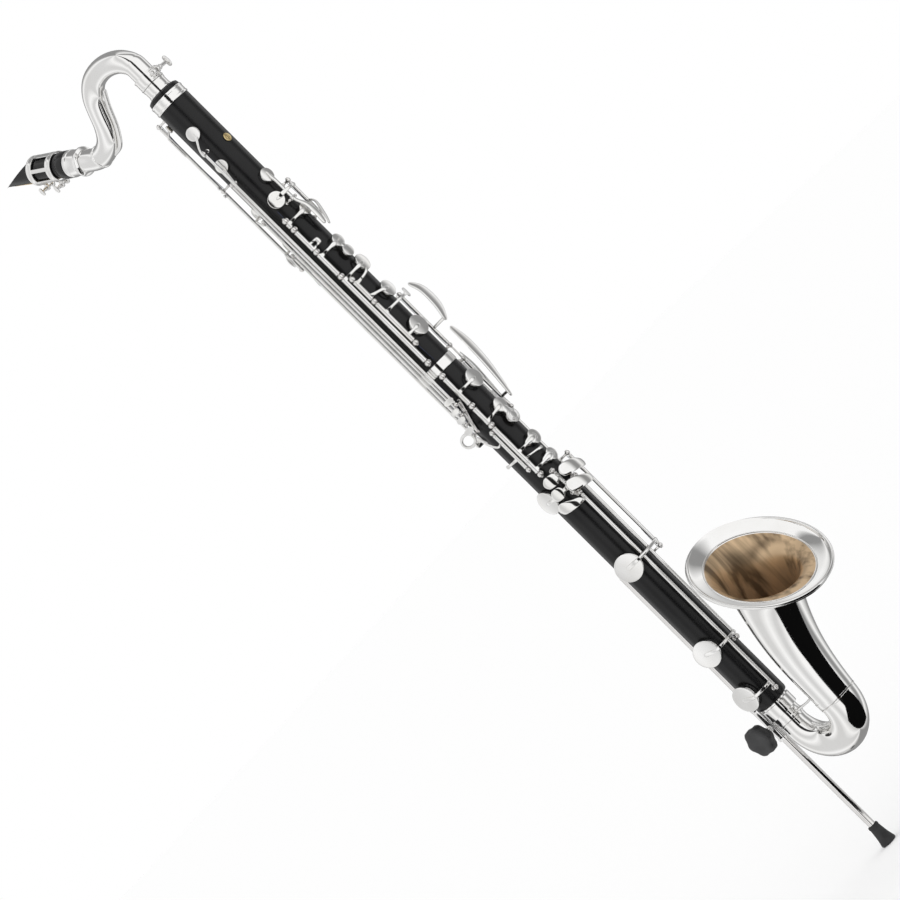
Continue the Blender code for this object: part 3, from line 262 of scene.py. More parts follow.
def add_piece(name, shapes, finishes, body, nodes, marks=None, sharp=40):
    """One object from closed shapes; marks gives each face's material, in the order of the faces."""
    points, corners, sizes, start = [], [], [], 0
    for p, quads, caps in shapes:
        points.append(p)
        corners += [(quads + start).reshape(-1), (caps + start).reshape(-1)]
        sizes += [np.full(len(quads), 4), np.full(len(caps), caps.shape[1])]
        start += len(p)
    points, corners, sizes = np.vstack(points) * MM, np.concatenate(corners), np.concatenate(sizes)
    mesh = bpy.data.meshes.new(name)
    mesh.vertices.add(len(points))
    mesh.vertices.foreach_set("co", points.astype(np.float32).reshape(-1))
    mesh.loops.add(len(corners))
    mesh.loops.foreach_set("vertex_index", corners.astype(np.int32))
    mesh.polygons.add(len(sizes))
    mesh.polygons.foreach_set("loop_start", (np.cumsum(sizes) - sizes).astype(np.int32))
    if marks is not None:
        mesh.polygons.foreach_set("material_index", marks.astype(np.int32))
    mesh.update(calc_edges=True)
    mesh.validate()
    for finish in finishes:
        mesh.materials.append(finish)
    mesh.shade_smooth()
    mesh.set_sharp_from_angle(angle=radians(sharp))
    thing = bpy.data.objects.new(name, mesh)
    bpy.context.collection.objects.link(thing)
    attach(thing, body)
    if nodes:
        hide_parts(*nodes)
    return thing


def uneven_group():
    """A node group: roughness that wanders with a soft noise, and a fine height for a bump."""
    group = bpy.data.node_groups.new("uneven_surface", "ShaderNodeTree")
    kind = "NodeSocketFloat"
    for socket, low in (("Scale", 30.0), ("Roughness", 0.2), ("Spread", 0.1), ("Fineness", 600.0)):
        group.interface.new_socket(socket, in_out="INPUT", socket_type=kind).default_value = low
    for socket in ("Roughness", "Height", "Patch"):
        group.interface.new_socket(socket, in_out="OUTPUT", socket_type=kind)
    node = {kind: group.nodes.new(kind) for kind in ("NodeGroupInput", "NodeGroupOutput",
                                                     "ShaderNodeTexCoord")}
    given, result, place = node.values()
    broad, fine = group.nodes.new("ShaderNodeTexNoise"), group.nodes.new("ShaderNodeTexNoise")
    broad.inputs["Detail"].default_value, fine.inputs["Detail"].default_value = 5.0, 2.0
    centred, grown, total = (group.nodes.new("ShaderNodeMath") for _ in range(3))
    centred.operation, centred.inputs[1].default_value = "SUBTRACT", 0.5
    grown.operation, total.operation = "MULTIPLY", "ADD"
    total.use_clamp = True
    wire(group, (place.outputs["Object"], broad.inputs["Vector"]),
         (place.outputs["Object"], fine.inputs["Vector"]),
         (given.outputs["Scale"], broad.inputs["Scale"]),
         (given.outputs["Fineness"], fine.inputs["Scale"]), (broad.outputs[0], centred.inputs[0]),
         (centred.outputs[0], grown.inputs[0]), (given.outputs["Spread"], grown.inputs[1]),
         (grown.outputs[0], total.inputs[0]), (given.outputs["Roughness"], total.inputs[1]),
         (total.outputs[0], result.inputs["Roughness"]), (fine.outputs[0], result.inputs["Height"]),
         (broad.outputs[0], result.inputs["Patch"]))
    return group


UNEVEN = uneven_group()


def surfaced(name, first, second, metallic, roughness, spread, scale, fineness, bump, low=0.35, high=0.65,
             gloss=0.5):
    """A finish whose colour drifts between two shades in patches, with uneven gloss and a fine bump."""
    made, tree, shader = new_material(name)
    uneven = tree.nodes.new("ShaderNodeGroup")
    uneven.node_tree = UNEVEN
    for socket, value in (("Scale", scale), ("Roughness", roughness), ("Spread", spread),
                          ("Fineness", fineness)):
        uneven.inputs[socket].default_value = value
    drift = tree.nodes.new("ShaderNodeValToRGB")
    drift.color_ramp.elements[0].position, drift.color_ramp.elements[0].color = low, (*first, 1)
    drift.color_ramp.elements[1].position, drift.color_ramp.elements[1].color = high, (*second, 1)
    relief = tree.nodes.new("ShaderNodeBump")
    relief.inputs["Strength"].default_value = bump
    relief.inputs["Distance"].default_value = 0.0002
    wire(tree, (uneven.outputs["Patch"], drift.inputs["Fac"]),
         (drift.outputs["Color"], shader.inputs["Base Color"]),
         (uneven.outputs["Roughness"], shader.inputs["Roughness"]),
         (uneven.outputs["Height"], relief.inputs["Height"]),
         (relief.outputs["Normal"], shader.inputs["Normal"]))
    shader.inputs["Metallic"].default_value = metallic
    shader.inputs["Specular IOR Level"].default_value = gloss
    return made


black_resin = surfaced("black_resin", (0.004, 0.004, 0.0045), (0.007, 0.007, 0.0075), 0.0, 0.26, 0.08,
                       38, 2600, 0.1,
                       gloss=0.33)

# Every tone hole: angle, place down, cup radius and whether its key stands open.
HOLES = {
    "trill_1": (61.4, 51.2, 7.2, False), "trill_2": (69.5, 91.9, 7.0, False),
    "trill_3": (107.0, 147.0, 6.4, False), "trill_4": (119.0, 190.0, 6.4, False),
    "gsharp": (-2.0, 128.2, 7.6, False), "a": (30.4, 151.6, 8.6, False), "side": (-6.0, 176.5, 6.6, True),
    "upper_1": (-9.0, 220.0, 7.2, True), "upper_2": (-17.0, 251.1, 8.9, True),
    "upper_3": (-14.2, 286.0, 8.9, True), "bridge": (-4.0, 331.5, 10.8, False),
    "lower_1": (-4.3, 404.7, 10.0, True), "lower_2": (-1.6, 440.6, 7.9, True),
    "lower_3": (-6.3, 485.0, 7.8, True), "lower_4": (-6.6, 508.5, 6.8, True),
    "pinky": (97.2, 540.5, 13.0, False), "low_1": (58.7, 638.0, 14.5, True),
    "low_2": (74.5, 750.0, 14.6, True), "low_3": (88.4, 807.4, 14.3, True),
    "register": (150.0, 29.5, 4.2, False),
}
LIP, BAND_TALL, BAND_OUT, BAND_SEAT = 5.0, 11.5, 0.9, 0.95
CENTRE_BAND = (368.8, 379.8)
bottom = TOP - BODY_LONG
seat = BODY_R - BAND_SEAT
body_profile = eased([
    (BORE_R, TOP), (BODY_R - 3.0, TOP), (BODY_R - 0.6, TOP - 1.5), (BODY_R, TOP - LIP), (seat, TOP - LIP),
    (seat, TOP - LIP - BAND_TALL), (BODY_R, TOP - LIP - BAND_TALL), (BODY_R, z_at(CENTRE_BAND[0])),
    (seat, z_at(CENTRE_BAND[0])), (seat, z_at(CENTRE_BAND[1])), (BODY_R, z_at(CENTRE_BAND[1])),
    (BODY_R, bottom + 3.2), (BODY_R - 0.7, bottom + 1.0), (BODY_R - 2.2, bottom), (BORE_R, bottom)], 0.5,
                     4, True)
shapes = [lathe(body_profile, 96)]
for angle, down, radius, _ in HOLES.values():
    outer = radius * 0.86
    chimney = eased([(outer * 0.8, BODY_R - 1.0), (outer + 0.9, BODY_R - 1.0),
                     (outer + 0.2, BODY_R + 0.35),
                     (outer, BODY_R + RIM_OUT), (outer * 0.8, BODY_R + RIM_OUT)], 0.3, 3, True)
    shapes.append(turned((0, AXIS_Y, z_at(down)), outward(angle), chimney, 40, True))
add_piece("body_resin_tube", shapes, [black_resin], "instrument", ["body_tube"])

# ---- Bands and the small inlay -----------------------------------------------------------------
# Turned silver-plated rings keep the ends of the body from splitting; the top one has two beads.
# A small gilt disc is let into the front of the upper body as a plain ornament.
SILVER = (0.93, 0.925, 0.915)
SILVER_DULL = (0.86, 0.85, 0.83)
silver = surfaced("silver_plate", SILVER_DULL, SILVER, 1.0, 0.075, 0.06, 22, 900, 0.03, 0.25, 0.6)


def plated(name, shapes, node, body="instrument"):
    """A piece in silver plate that stands in for one node."""
    return add_piece(name, shapes, [silver], body, [node])


gold = surfaced("gilt_inlay", (0.62, 0.47, 0.22), (0.85, 0.68, 0.36), 1.0, 0.28, 0.15, 300, 2400, 0.2)
band_r = BODY_R + BAND_OUT
high, low = TOP - LIP - GAP, TOP - LIP - BAND_TALL + GAP
top_band = eased([(seat + GAP, high), (band_r - 0.5, high), (band_r, high - 0.7), (band_r, high - 2.3),
                  (band_r - 0.45, high - 2.9), (band_r - 0.45, low + 2.9), (band_r, low + 2.3),
                  (band_r, low + 0.7),
                  (band_r - 0.5, low), (seat + GAP, low)], 0.45, 4, True)
plated("top_band_turned", [lathe(top_band, 96)], "top_ferrule")
high, low = z_at(CENTRE_BAND[0]) - GAP, z_at(CENTRE_BAND[1]) + GAP
centre_band = eased([(seat + GAP, high), (band_r - 0.6, high), (band_r - 0.3, high - 0.6),
                     (band_r - 0.3, low + 0.6),
                     (band_r - 0.6, low), (seat + GAP, low)], 0.4, 4, True)
plated("centre_band_turned", [lathe(centre_band, 96)], "centre_band")
inlay = [(0.05, BODY_R + GAP), (4.5, BODY_R + GAP), (4.5, BODY_R + 0.7), (3.9, BODY_R + 0.95),
         (3.2, BODY_R + 0.7),
         (1.6, BODY_R + 0.75), (0.9, BODY_R + 0.95), (0.05, BODY_R + 0.95)]
add_piece("plain_inlay", [turned((0, AXIS_Y, z_at(75.6)), outward(-7.0), eased(inlay, 0.2), 40)], [gold],
          "instrument", ["emblem"])

# ---- Socket tube and bow -----------------------------------------------------------------------
# A plain plated tube under the body carries the bow, a drawn brass tube bent to a U and plated.
# A ribbed strip is soldered inside the bend, and a brace ties the tube to the bell.
FERRULE_R, BOW_R, BOW_END_R, BOW_TURN, WALL = 14.7, 14.0, 20.5, 35.0, 1.2
BOW_TOP = bottom - 24.0
high, low = bottom - GAP, BOW_TOP + GAP
socket_profile = eased([(BORE_R, high), (FERRULE_R - 0.4, high), (FERRULE_R - 0.4, high - 1.6),
                        (FERRULE_R, high - 2.4),
                        (FERRULE_R - 0.5, high - 3.4), (FERRULE_R - 0.5, low + 3.6),
                        (FERRULE_R, low + 2.6),
                        (FERRULE_R, low), (BORE_R, low)], 0.4, 4, True)
plated("bow_socket", [lathe(socket_profile, 72)], "bell_socket_tube")


def tube_along(line, tangents, outer, inner, columns):
    """A hollow tube over a line in the plane x = 0: line + r (cos t x + sin t (d cross x)).

    Its rings run along the outside and then back along the inside.
    """
    across = np.array([1.0, 0.0, 0.0])
    t = np.arange(columns) * 2 * pi / columns
    lift = np.cross(tangents, across)
    circle = np.cos(t)[None, :, None] * across + np.sin(t)[None, :, None] * lift[:, None, :]
    outside = line[:, None] + np.asarray(outer)[:, None, None] * circle
    inside = line[:, None] + np.asarray(inner)[:, None, None] * circle
    return skin(np.concatenate([outside, inside[::-1]]), True)


bow_centre = np.array([0.0, AXIS_Y - BOW_TURN, BOW_TOP - 8.0])
turn = np.linspace(0, pi, 72)
arc = bow_centre + BOW_TURN * np.stack([0 * turn, np.cos(turn), -np.sin(turn)], 1)
straight = np.stack([np.zeros(5), np.full(5, AXIS_Y), np.linspace(BOW_TOP, BOW_TOP - 7, 5)], 1)
bow_line = np.vstack([straight, arc])
bow_tangent = np.vstack([np.tile(-UP, (5, 1)), np.stack([0 * turn, -np.sin(turn), -np.cos(turn)], 1)])
bow_r = np.concatenate([np.full(5, BOW_R), BOW_R + (BOW_END_R - BOW_R) * (turn / pi) ** 0.8])
shapes = [tube_along(bow_line, bow_tangent, bow_r, bow_r - WALL, 72)]
for z, radius in ((BOW_TOP - 1.2, BOW_R + 0.1), (arc[-1, 2] - 1.2, BOW_END_R + 0.1)):
    centre_y = AXIS_Y if radius < BOW_END_R else arc[-1, 1]
    ring = eased([(radius - 0.6, z + 0.9), (radius + 0.5, z + 0.7), (radius + 0.5, z - 0.7),
                  (radius - 0.6, z - 0.9)],
                 0.35, 4, True)
    shapes.append(turned((0, centre_y, 0), UP, ring, 72, True))
plated("bow_drawn_tube", shapes, "bell_bow")

SHARES = 0.5 - 0.5 * np.cos(pi * np.linspace(0, 1, 30))


def smooth(knots, shares=SHARES):
    """A curve through knots at shares of its length: a Catmull-Rom cubic through each four in turn."""
    k = np.asarray(knots, float).reshape(len(knots), -1)
    k = np.vstack([2 * k[0] - k[1], k, 2 * k[-1] - k[-2]])
    u = np.asarray(shares) * (len(k) - 3 - 1e-9)
    i = u.astype(int)
    t = (u - i)[:, None]
    a, b, c, d = k[i], k[i + 1], k[i + 2], k[i + 3]
    square = (2 * a - 5 * b + 4 * c - d) * t ** 2
    return 0.5 * (2 * b + (c - a) * t + square + (3 * b - a - 3 * c + d) * t ** 3)


def softened(line, times):
    """Eases a line in place by the mean (a + 2b + c) / 4 with its ends kept, and gives its tangents."""
    for _ in range(times):
        line[1:-1] = 0.25 * line[:-2] + 0.5 * line[1:-1] + 0.25 * line[2:]
    tangent = np.gradient(line, axis=0)
    return tangent / np.linalg.norm(tangent, axis=1)[:, None]


def bar(path, guide, widths, thicks, power=2.6, columns=18):
    """A rounded bar over a path, drawn in to a half ellipse at its ends.

    Each ring is path + w/2 |cos t|^(2/p) side + h/2 |sin t|^(2/p) out.
    """
    path = np.asarray(path, float)
    rows = len(path)
    shares = np.linspace(0, 1, rows) if rows != len(SHARES) else SHARES
    tangent = np.gradient(path, axis=0)
    tangent /= np.linalg.norm(tangent, axis=1)[:, None]
    side = np.cross(tangent, np.broadcast_to(guide, path.shape))
    side /= np.linalg.norm(side, axis=1)[:, None]
    out = np.cross(side, tangent)
    w = smooth(np.ravel(widths), shares)[:, 0] if np.size(widths) > 1 else np.full(rows, float(widths))
    h = smooth(np.ravel(thicks), shares)[:, 0] if np.size(thicks) > 1 else np.full(rows, float(thicks))
    along = np.concatenate([[0], np.cumsum(np.linalg.norm(np.diff(path, axis=0), axis=1))])
    from_end = np.minimum(along, along[-1] - along)
    most = 0.45 * along[-1]

    def drawn_in(depth):
        return np.sqrt(np.clip(1 - (1 - np.minimum(from_end / depth, 1)) ** 2, 0.004, 1))

    w = w * drawn_in(min(most, max(w[0], w[-1]) / 2))
    h = h * drawn_in(min(most, max(h[0], h[-1]) / 2))
    t = (np.arange(columns) + 0.5) * 2 * pi / columns
    x = np.sign(np.cos(t)) * np.abs(np.cos(t)) ** (2 / power)
    y = np.sign(np.sin(t)) * np.abs(np.sin(t)) ** (2 / power)
    return skin(path[:, None] + (w[:, None] / 2 * x)[..., None] * side[:, None]
                + (h[:, None] / 2 * y)[..., None] * out[:, None])


STRIP_ROWS, STRIP_RIBS = 150, 40
strip_turn = np.linspace(0.12 * pi, 0.86 * pi, STRIP_ROWS)
strip_r = BOW_TURN - (BOW_R + (BOW_END_R - BOW_R) * (strip_turn / pi) ** 0.8) - 0.15
toward_centre = -np.stack([0 * strip_turn, np.cos(strip_turn), -np.sin(strip_turn)], 1)
strip_line = bow_centre - toward_centre * strip_r[:, None]
ribs = np.cos(np.linspace(0, STRIP_RIBS * 2 * pi, STRIP_ROWS))
strip = bar(strip_line, toward_centre, 5.2, 1.5 + 0.35 * ribs)
brace_z = BOW_TOP + 2.6
near, far = AXIS_Y - FERRULE_R - GAP, arc[-1, 1] + BOW_END_R + GAP + 0.6
brace = bar(smooth([(0, near, brace_z), (0, (near + far) / 2, brace_z + 0.4), (0, far, brace_z + 3.0)]),
            UP,
            [6.5, 4.0, 4.0, 6.5], [3.4, 2.4, 2.4, 3.4])
plates = [bar(smooth([(0, y, brace_z - 5 + rise), (0, y, brace_z + rise), (0, y, brace_z + 5 + rise)]),
              (0, 1, 0),
              [5.0, 7.0, 5.0], 1.3) for y, rise in ((near - 0.7, 0), (far + 0.7, 3.0))]
plated("bell_brace_soldered", [brace] + plates, "bell_brace")
add_piece("bow_ribbed_strip", [strip], [silver], "instrument", [])

# ---- Bell --------------------------------------------------------------------------------------
# A hammered brass flare, bright plated outside and on its wide brim, and warm gilt down the throat.
# Its edge is rolled over a wire, and a bead marks where the brim turns down into the throat.
BELL_R, RIM_R, BELL_FORWARD, BELL_TALL, BELL_LEAN = 68.2, 1.9, 127.0, 147.0, radians(46.5)
throat_gold, tree, shader = new_material("gilt_throat")
place = tree.nodes.new("ShaderNodeTexCoord")
stretch = tree.nodes.new("ShaderNodeMapping")
stretch.inputs["Rotation"].default_value = (radians(-20), 0, 0)
stretch.inputs["Scale"].default_value = (85, 85, 4)
streak = tree.nodes.new("ShaderNodeTexNoise")
streak.inputs["Scale"].default_value, streak.inputs["Detail"].default_value = 1.0, 3.0
gilt = tree.nodes.new("ShaderNodeValToRGB")
gilt.color_ramp.elements[0].position, gilt.color_ramp.elements[0].color = 0.36, (0.20, 0.14, 0.085, 1)
gilt.color_ramp.elements[1].position, gilt.color_ramp.elements[1].color = 0.56, (0.66, 0.48, 0.30, 1)
wire(tree, (place.outputs["Object"], stretch.inputs["Vector"]),
     (stretch.outputs[0], streak.inputs["Vector"]), (streak.outputs[0], gilt.inputs["Fac"]),
     (gilt.outputs[0], shader.inputs["Base Color"]))
shader.inputs["Metallic"].default_value, shader.inputs["Roughness"].default_value = 0.75, 0.32
seam = arc[-1] + np.array([0.0, 0.0, GAP])
lean_way = np.array([0.0, -sin(BELL_LEAN), cos(BELL_LEAN)])
rim_centre = np.array([0.0, AXIS_Y - BELL_FORWARD, seam[2] + BELL_TALL])
bell_knots = [seam, seam + (0, -2.0, 32.0), seam + (0, -8.5, 65.0), seam + (0, -21.0, 95.0),
              rim_centre - lean_way * 22.0, rim_centre - lean_way * 2.0]
BELL_ROWS = 90
bell_share = 1 - (1 - np.linspace(0, 1, BELL_ROWS)) ** 1.6
bell_line = smooth(bell_knots, bell_share)
bell_tangent = softened(bell_line, 220)
bell_tangent[0], bell_tangent[-1] = UP, lean_way
bell_out = BOW_END_R + 0.4 + 17.5 * bell_share ** 1.25 + (BELL_R - BOW_END_R - 17.9) * bell_share ** 13
COLUMNS = 112
flare = tube_along(bell_line, bell_tangent, bell_out, bell_out - WALL, COLUMNS)
THROAT_SHARE = 0.955
row_is_gold = np.concatenate([np.zeros(BELL_ROWS), (bell_share < THROAT_SHARE)[::-1]])
marks = np.repeat(row_is_gold, COLUMNS)
bead_at = int(np.argmax(bell_share >= THROAT_SHARE))
t = np.arange(20) * 2 * pi / 20
rolled = np.stack([BELL_R + RIM_R * np.cos(t) * 0.98, -2.0 + RIM_R * np.sin(t)], 1)
throat_bead = np.stack([bell_out[bead_at] - WALL - 0.1 + 0.75 * np.cos(t), 0.75 * np.sin(t)], 1)
seam_band = eased([(BOW_END_R - 0.2, 0.2), (BOW_END_R + 0.55, 0.2), (BOW_END_R + 0.8, 0.7),
                   (BOW_END_R + 0.6, 1.2),
                   (BOW_END_R + 0.75, 6.2), (BOW_END_R + 1.0, 6.8), (BOW_END_R + 0.7, 7.3),
                   (BOW_END_R - 0.2, 7.3)],
                  0.25, 4, True)
shapes = [flare, turned(rim_centre, lean_way, rolled, 112, True),
          turned(bell_line[bead_at], bell_tangent[bead_at], throat_bead, 112, True),
          turned(seam, UP, seam_band, 72, True)]
marks = np.concatenate([marks, np.zeros(sum(len(s[1]) for s in shapes[1:]))])
add_piece("bell_flare_spun", shapes, [silver, throat_gold], "instrument", ["bell_flare"], marks)

# ---- Neck --------------------------------------------------------------------------------------
# A plated tube bent to an S, with a rib soldered under its inner bend. It slides in a receiver on
# the body and is held by a split clamp with a thumb screw, and ends in the mouthpiece's socket.
NECK_R, RECEIVER_R, SOCKET_R, MOUTH_R = 11.4, 13.1, 14.1, 13.2
NECK_WALL, NECK_ROWS, bead = 1.0, 190, 0.55
receiver = eased([(NECK_R + GAP, TOP + GAP), (RECEIVER_R + 0.1, TOP + GAP), (RECEIVER_R, TOP + 1.8),
                  (RECEIVER_R - bead, TOP + 3.0), (RECEIVER_R - bead, TOP + RECEIVER_TALL - 2.6),
                  (RECEIVER_R, TOP + RECEIVER_TALL - 1.6), (RECEIVER_R, TOP + RECEIVER_TALL),
                  (NECK_R + GAP, TOP + RECEIVER_TALL)], 0.45, 4, True)
plated("neck_receiver_turned", [lathe(receiver, 72)], "neck_receiver")
low, high = TOP + RECEIVER_TALL + GAP, TOP + RECEIVER_TALL + 12.0
clamp_mid = (low + high) / 2
clamp_y = AXIS_Y - NECK_R - 4.6
clamp_ring = eased([(NECK_R + GAP, low), (RECEIVER_R + 0.1, low), (RECEIVER_R + 0.6, low + 0.8),
                    (RECEIVER_R, low + 2.0), (RECEIVER_R, high - 2.0), (RECEIVER_R + 0.6, high - 0.8),
                    (RECEIVER_R + 0.1, high), (NECK_R + GAP, high)], 0.4, 4, True)
shapes = [lathe(clamp_ring, 72)]
for x in (-4.6, 1.2):
    lug = eased([(1.9, 0), (3.6, 0), (3.6, 3.4), (1.9, 3.4)], 0.5, 4, True)
    shapes.append(turned((x, clamp_y, clamp_mid), (1, 0, 0), lug, 36, True))
    shapes.append(bar(smooth([(x + 1.7, AXIS_Y - NECK_R - 0.9, clamp_mid),
                              (x + 1.7, clamp_y + 1.9, clamp_mid)]), UP,
                      3.3, 7.0, 4))
plated("neck_clamp_split", shapes, "neck_clamp")


def thumb_screw(centre, axis, reach, shaft_r, head):
    """A screw with a collar and a flat oval thumb piece; reach is (tip, collar, head) on its axis."""
    tip, collar, far_end = reach
    centre, axis = np.asarray(centre, float), unit(axis)
    profile = eased([(0.05, tip), (shaft_r, tip), (shaft_r, collar), (head * 0.42, collar),
                     (head * 0.42, collar - 2.6),
                     (shaft_r * 1.15, collar - 3.6), (shaft_r * 1.15, far_end), (0.05, far_end)], 0.3)
    wide = np.cross(axis, side_of(axis)[0])
    path = smooth([centre + axis * far_end - wide * head, centre + axis * (far_end - 0.3),
                   centre + axis * far_end + wide * head])
    return [turned(centre, axis, profile, 28), bar(path, axis, [head * 0.7, head * 1.05, head * 0.7],
                                                   [2.2, 2.8, 2.2])]


plated("clamp_thumb_screw", thumb_screw((0, clamp_y, clamp_mid), (-1, 0, 0), (6.6, -5.4, -19.0), 1.5,
                                        6.2), "clamp_screw", "clamp_screw")
origin = np.array([0.0, AXIS_Y, TOP])
MOUTH_ANGLE = radians(27.0)
mouth_way = np.array([0.0, cos(MOUTH_ANGLE), sin(MOUTH_ANGLE)])
mouth_down = np.array([0.0, sin(MOUTH_ANGLE), -cos(MOUTH_ANGLE)])
socket_at = origin + (0, 154.0, 17.3)
neck_knots = np.array([(0, 0, 2), (0, 0, 33.0), (0, 0.8, 37.0), (0, 3.8, 42.5), (0, 14.5, 52.0),
                       (0, 34.5, 59.3),
                       (0, 57.7, 59.5), (0, 74.7, 51.0), (0, 84.5, 39.0), (0, 95.0, 22.9),
                       (0, 111.0, 10.4),
                       (0, 134.0, 7.9), (0, 154.0, 17.3)]) + origin
neck_line = smooth(neck_knots, np.linspace(0, 1, NECK_ROWS))
neck_tangent = softened(neck_line, 30)
radius = np.full(NECK_ROWS, NECK_R)
rib_line = smooth(np.array([(0, 57.0, 46.0), (0, 70.0, 33.0), (0, 84.0, 14.0), (0, 100.0, 0.5),
                            (0, 116.0, -2.0)])
                  + origin)
rib = bar(rib_line, (1, 0, 0), [2.4, 4.2, 4.6, 4.6, 4.2, 2.4], 4.4)
neck_ring = eased([(NECK_R - 0.5, -1.6), (NECK_R + 0.7, -1.2), (NECK_R + 0.9, 0), (NECK_R + 0.7, 1.2),
                   (NECK_R - 0.5, 1.6)], 0.3, 4, True)
ring_row = 172
shapes = [tube_along(neck_line, neck_tangent, radius, radius - NECK_WALL, 64), rib,
          turned(neck_line[ring_row], neck_tangent[ring_row], neck_ring, 64, True)]
plated("neck_bent_tube", shapes, "neck_tube", "neck")
start = socket_at + mouth_way * GAP
socket = eased([(MOUTH_R - 1.6, 22.0), (SOCKET_R - 0.5, 22.0), (SOCKET_R, 21.0), (SOCKET_R, 17.6),
                (SOCKET_R - 0.7, 16.6),
                (SOCKET_R - 0.7, 6.0), (SOCKET_R + 0.2, 4.6), (SOCKET_R + 1.0, 3.4),
                (SOCKET_R + 0.9, 1.5),
                (NECK_R + 0.4, 0), (NECK_R - 0.8, 0), (MOUTH_R - 1.6, 0.8)], 0.5, 4, True)
plated("neck_socket_turned", [turned(start, mouth_way, socket, 72, True)], "neck_socket", "neck")

# ---- Mouthpiece, reed and ligature ---------------------------------------------------------------
# Satin black resin, round at the socket, flat below for the reed and cut to a slope above. The
# cane reed is pressed on by a plated clip of two rings with windows between and two screws below.
mouth_resin = surfaced("mouthpiece_resin", (0.005, 0.005, 0.0055), (0.009, 0.009, 0.0095), 0.0, 0.22,
                       0.1, 60, 3000,
                       0.06, gloss=0.4)
FLAT, MOUTH_LONG, BEAK_START, BEAK_SLOPE = 9.0, 114.7, 70.0, 0.529
along = np.concatenate([[0.6, 22.3, 22.4, 22.9, 24.0, 31.0, 32.2, 33.5], np.linspace(35, MOUTH_LONG, 90)])
shell_r = np.interp(along, [0, 22.35, 22.4, 23, 24, 31, 33.5, 74, 115],
                    [MOUTH_R - 1.95, MOUTH_R - 1.95, SOCKET_R - 0.9, SOCKET_R - 0.2, SOCKET_R, SOCKET_R,
                     MOUTH_R,
                     MOUTH_R - 0.4, MOUTH_R - 1.5])
below = FLAT + (shell_r - FLAT) * np.clip((35.5 - along) / 2.5, 0, 1)
rise = np.maximum(-shell_r, -15.46 + BEAK_SLOPE * (along - BEAK_START))
t = np.arange(88) * 2 * pi / 88
x = shell_r[:, None] * np.cos(t)
d = np.clip(shell_r[:, None] * np.sin(t), np.minimum(rise, below - 0.25)[:, None], below[:, None])
rings = (start + along[:, None, None] * mouth_way + x[..., None] * np.array([1.0, 0, 0])
         + d[..., None] * mouth_down)
add_piece("mouthpiece_beaked", [skin(rings)], [mouth_resin], "neck", ["mouthpiece"],
          sharp=28)


def at(along, below=0.0, x=0.0):
    """A place on the mouthpiece: along it from the socket, below its middle and across."""
    return start + mouth_way * along + mouth_down * below + np.array([x, 0.0, 0.0])


cane, tree, shader = new_material("dry_cane")
place = tree.nodes.new("ShaderNodeTexCoord")
stretch = tree.nodes.new("ShaderNodeMapping")
stretch.inputs["Rotation"].default_value = (-MOUTH_ANGLE, 0, 0)
stretch.inputs["Scale"].default_value = (2600, 60, 2600)
fibre = tree.nodes.new("ShaderNodeTexNoise")
fibre.inputs["Scale"].default_value = 1.0
tint = tree.nodes.new("ShaderNodeValToRGB")
tint.color_ramp.elements[0].color = (0.50, 0.34, 0.15, 1)
tint.color_ramp.elements[1].color = (0.80, 0.63, 0.36, 1)
relief = tree.nodes.new("ShaderNodeBump")
relief.inputs["Strength"].default_value, relief.inputs["Distance"].default_value = 0.3, 0.0001
wire(tree, (place.outputs["Object"], stretch.inputs["Vector"]),
     (stretch.outputs[0], fibre.inputs["Vector"]), (fibre.outputs[0], tint.inputs["Fac"]),
     (tint.outputs[0], shader.inputs["Base Color"]), (fibre.outputs[0], relief.inputs["Height"]),
     (relief.outputs[0], shader.inputs["Normal"]))
shader.inputs["Roughness"].default_value = 0.55
reed_line = smooth([at(40, FLAT + 1.65), at(62, FLAT + 1.65), at(78, FLAT + 1.6), at(97, FLAT + 1.0),
                    at(113.8, FLAT + 0.6)])
add_piece("reed_of_cane", [bar(reed_line, mouth_down, [11.5, 11.8, 12.2, 12.8, 13.2],
                               [2.5, 2.5, 2.4, 1.2, 0.45], 4)],
          [cane], "neck", ["reed"])
clip_in, clip_out = MOUTH_R + 0.95, MOUTH_R + 1.9
shapes = []
for first, last in ((38.0, 45.5), (66.5, 74.0)):
    clip = eased([(clip_in, first), (clip_out + 0.3, first), (clip_out + 0.3, first + 1.2),
                  (clip_out, first + 1.8),
                  (clip_out, last - 1.8), (clip_out + 0.3, last - 1.2), (clip_out + 0.3, last),
                  (clip_in, last)],
                 0.3, 3, True)
    shapes.append(turned(start, mouth_way, clip, 72, True))
middle_r = (clip_in + clip_out) / 2
for angle, wide in ((0, 7.0), (70, 4.0), (-70, 4.0), (128, 4.5), (-128, 4.5)):
    a = radians(angle)
    up_here = -mouth_down * cos(a) + np.array([1.0, 0, 0]) * sin(a)
    line = [start + mouth_way * q + up_here * middle_r for q in (40.0, 50.0, 62.0, 72.0)]
    shapes.append(bar(smooth(line), up_here, wide, 1.1, 5))
for q in (45.0, 67.0):
    for x in (-5.4, 2.6):
        lug = eased([(1.5, x), (3.0, x), (3.0, x + 2.8), (1.5, x + 2.8)], 0.4, 4, True)
        shapes.append(turned(at(q, MOUTH_R + 5.2), (1, 0, 0), lug, 32, True))
        shapes.append(bar(smooth([at(q, clip_in + 0.3, x + 1.4), at(q, MOUTH_R + 3.6, x + 1.4)]),
                          (1, 0, 0), 5.2, 2.7, 4))
plated("ligature_windowed", shapes, "ligature", "neck")
for number, q in ((1, 45.0), (2, 67.0)):
    add_piece(f"ligature_thumb_screw_{number}",
              thumb_screw(at(q, MOUTH_R + 5.2), (1, 0, 0), (6.4, -6.0, -12.9), 1.2, 4.4), [silver],
              f"ligature_screw_{number}", [f"ligature_screw_{number}"])

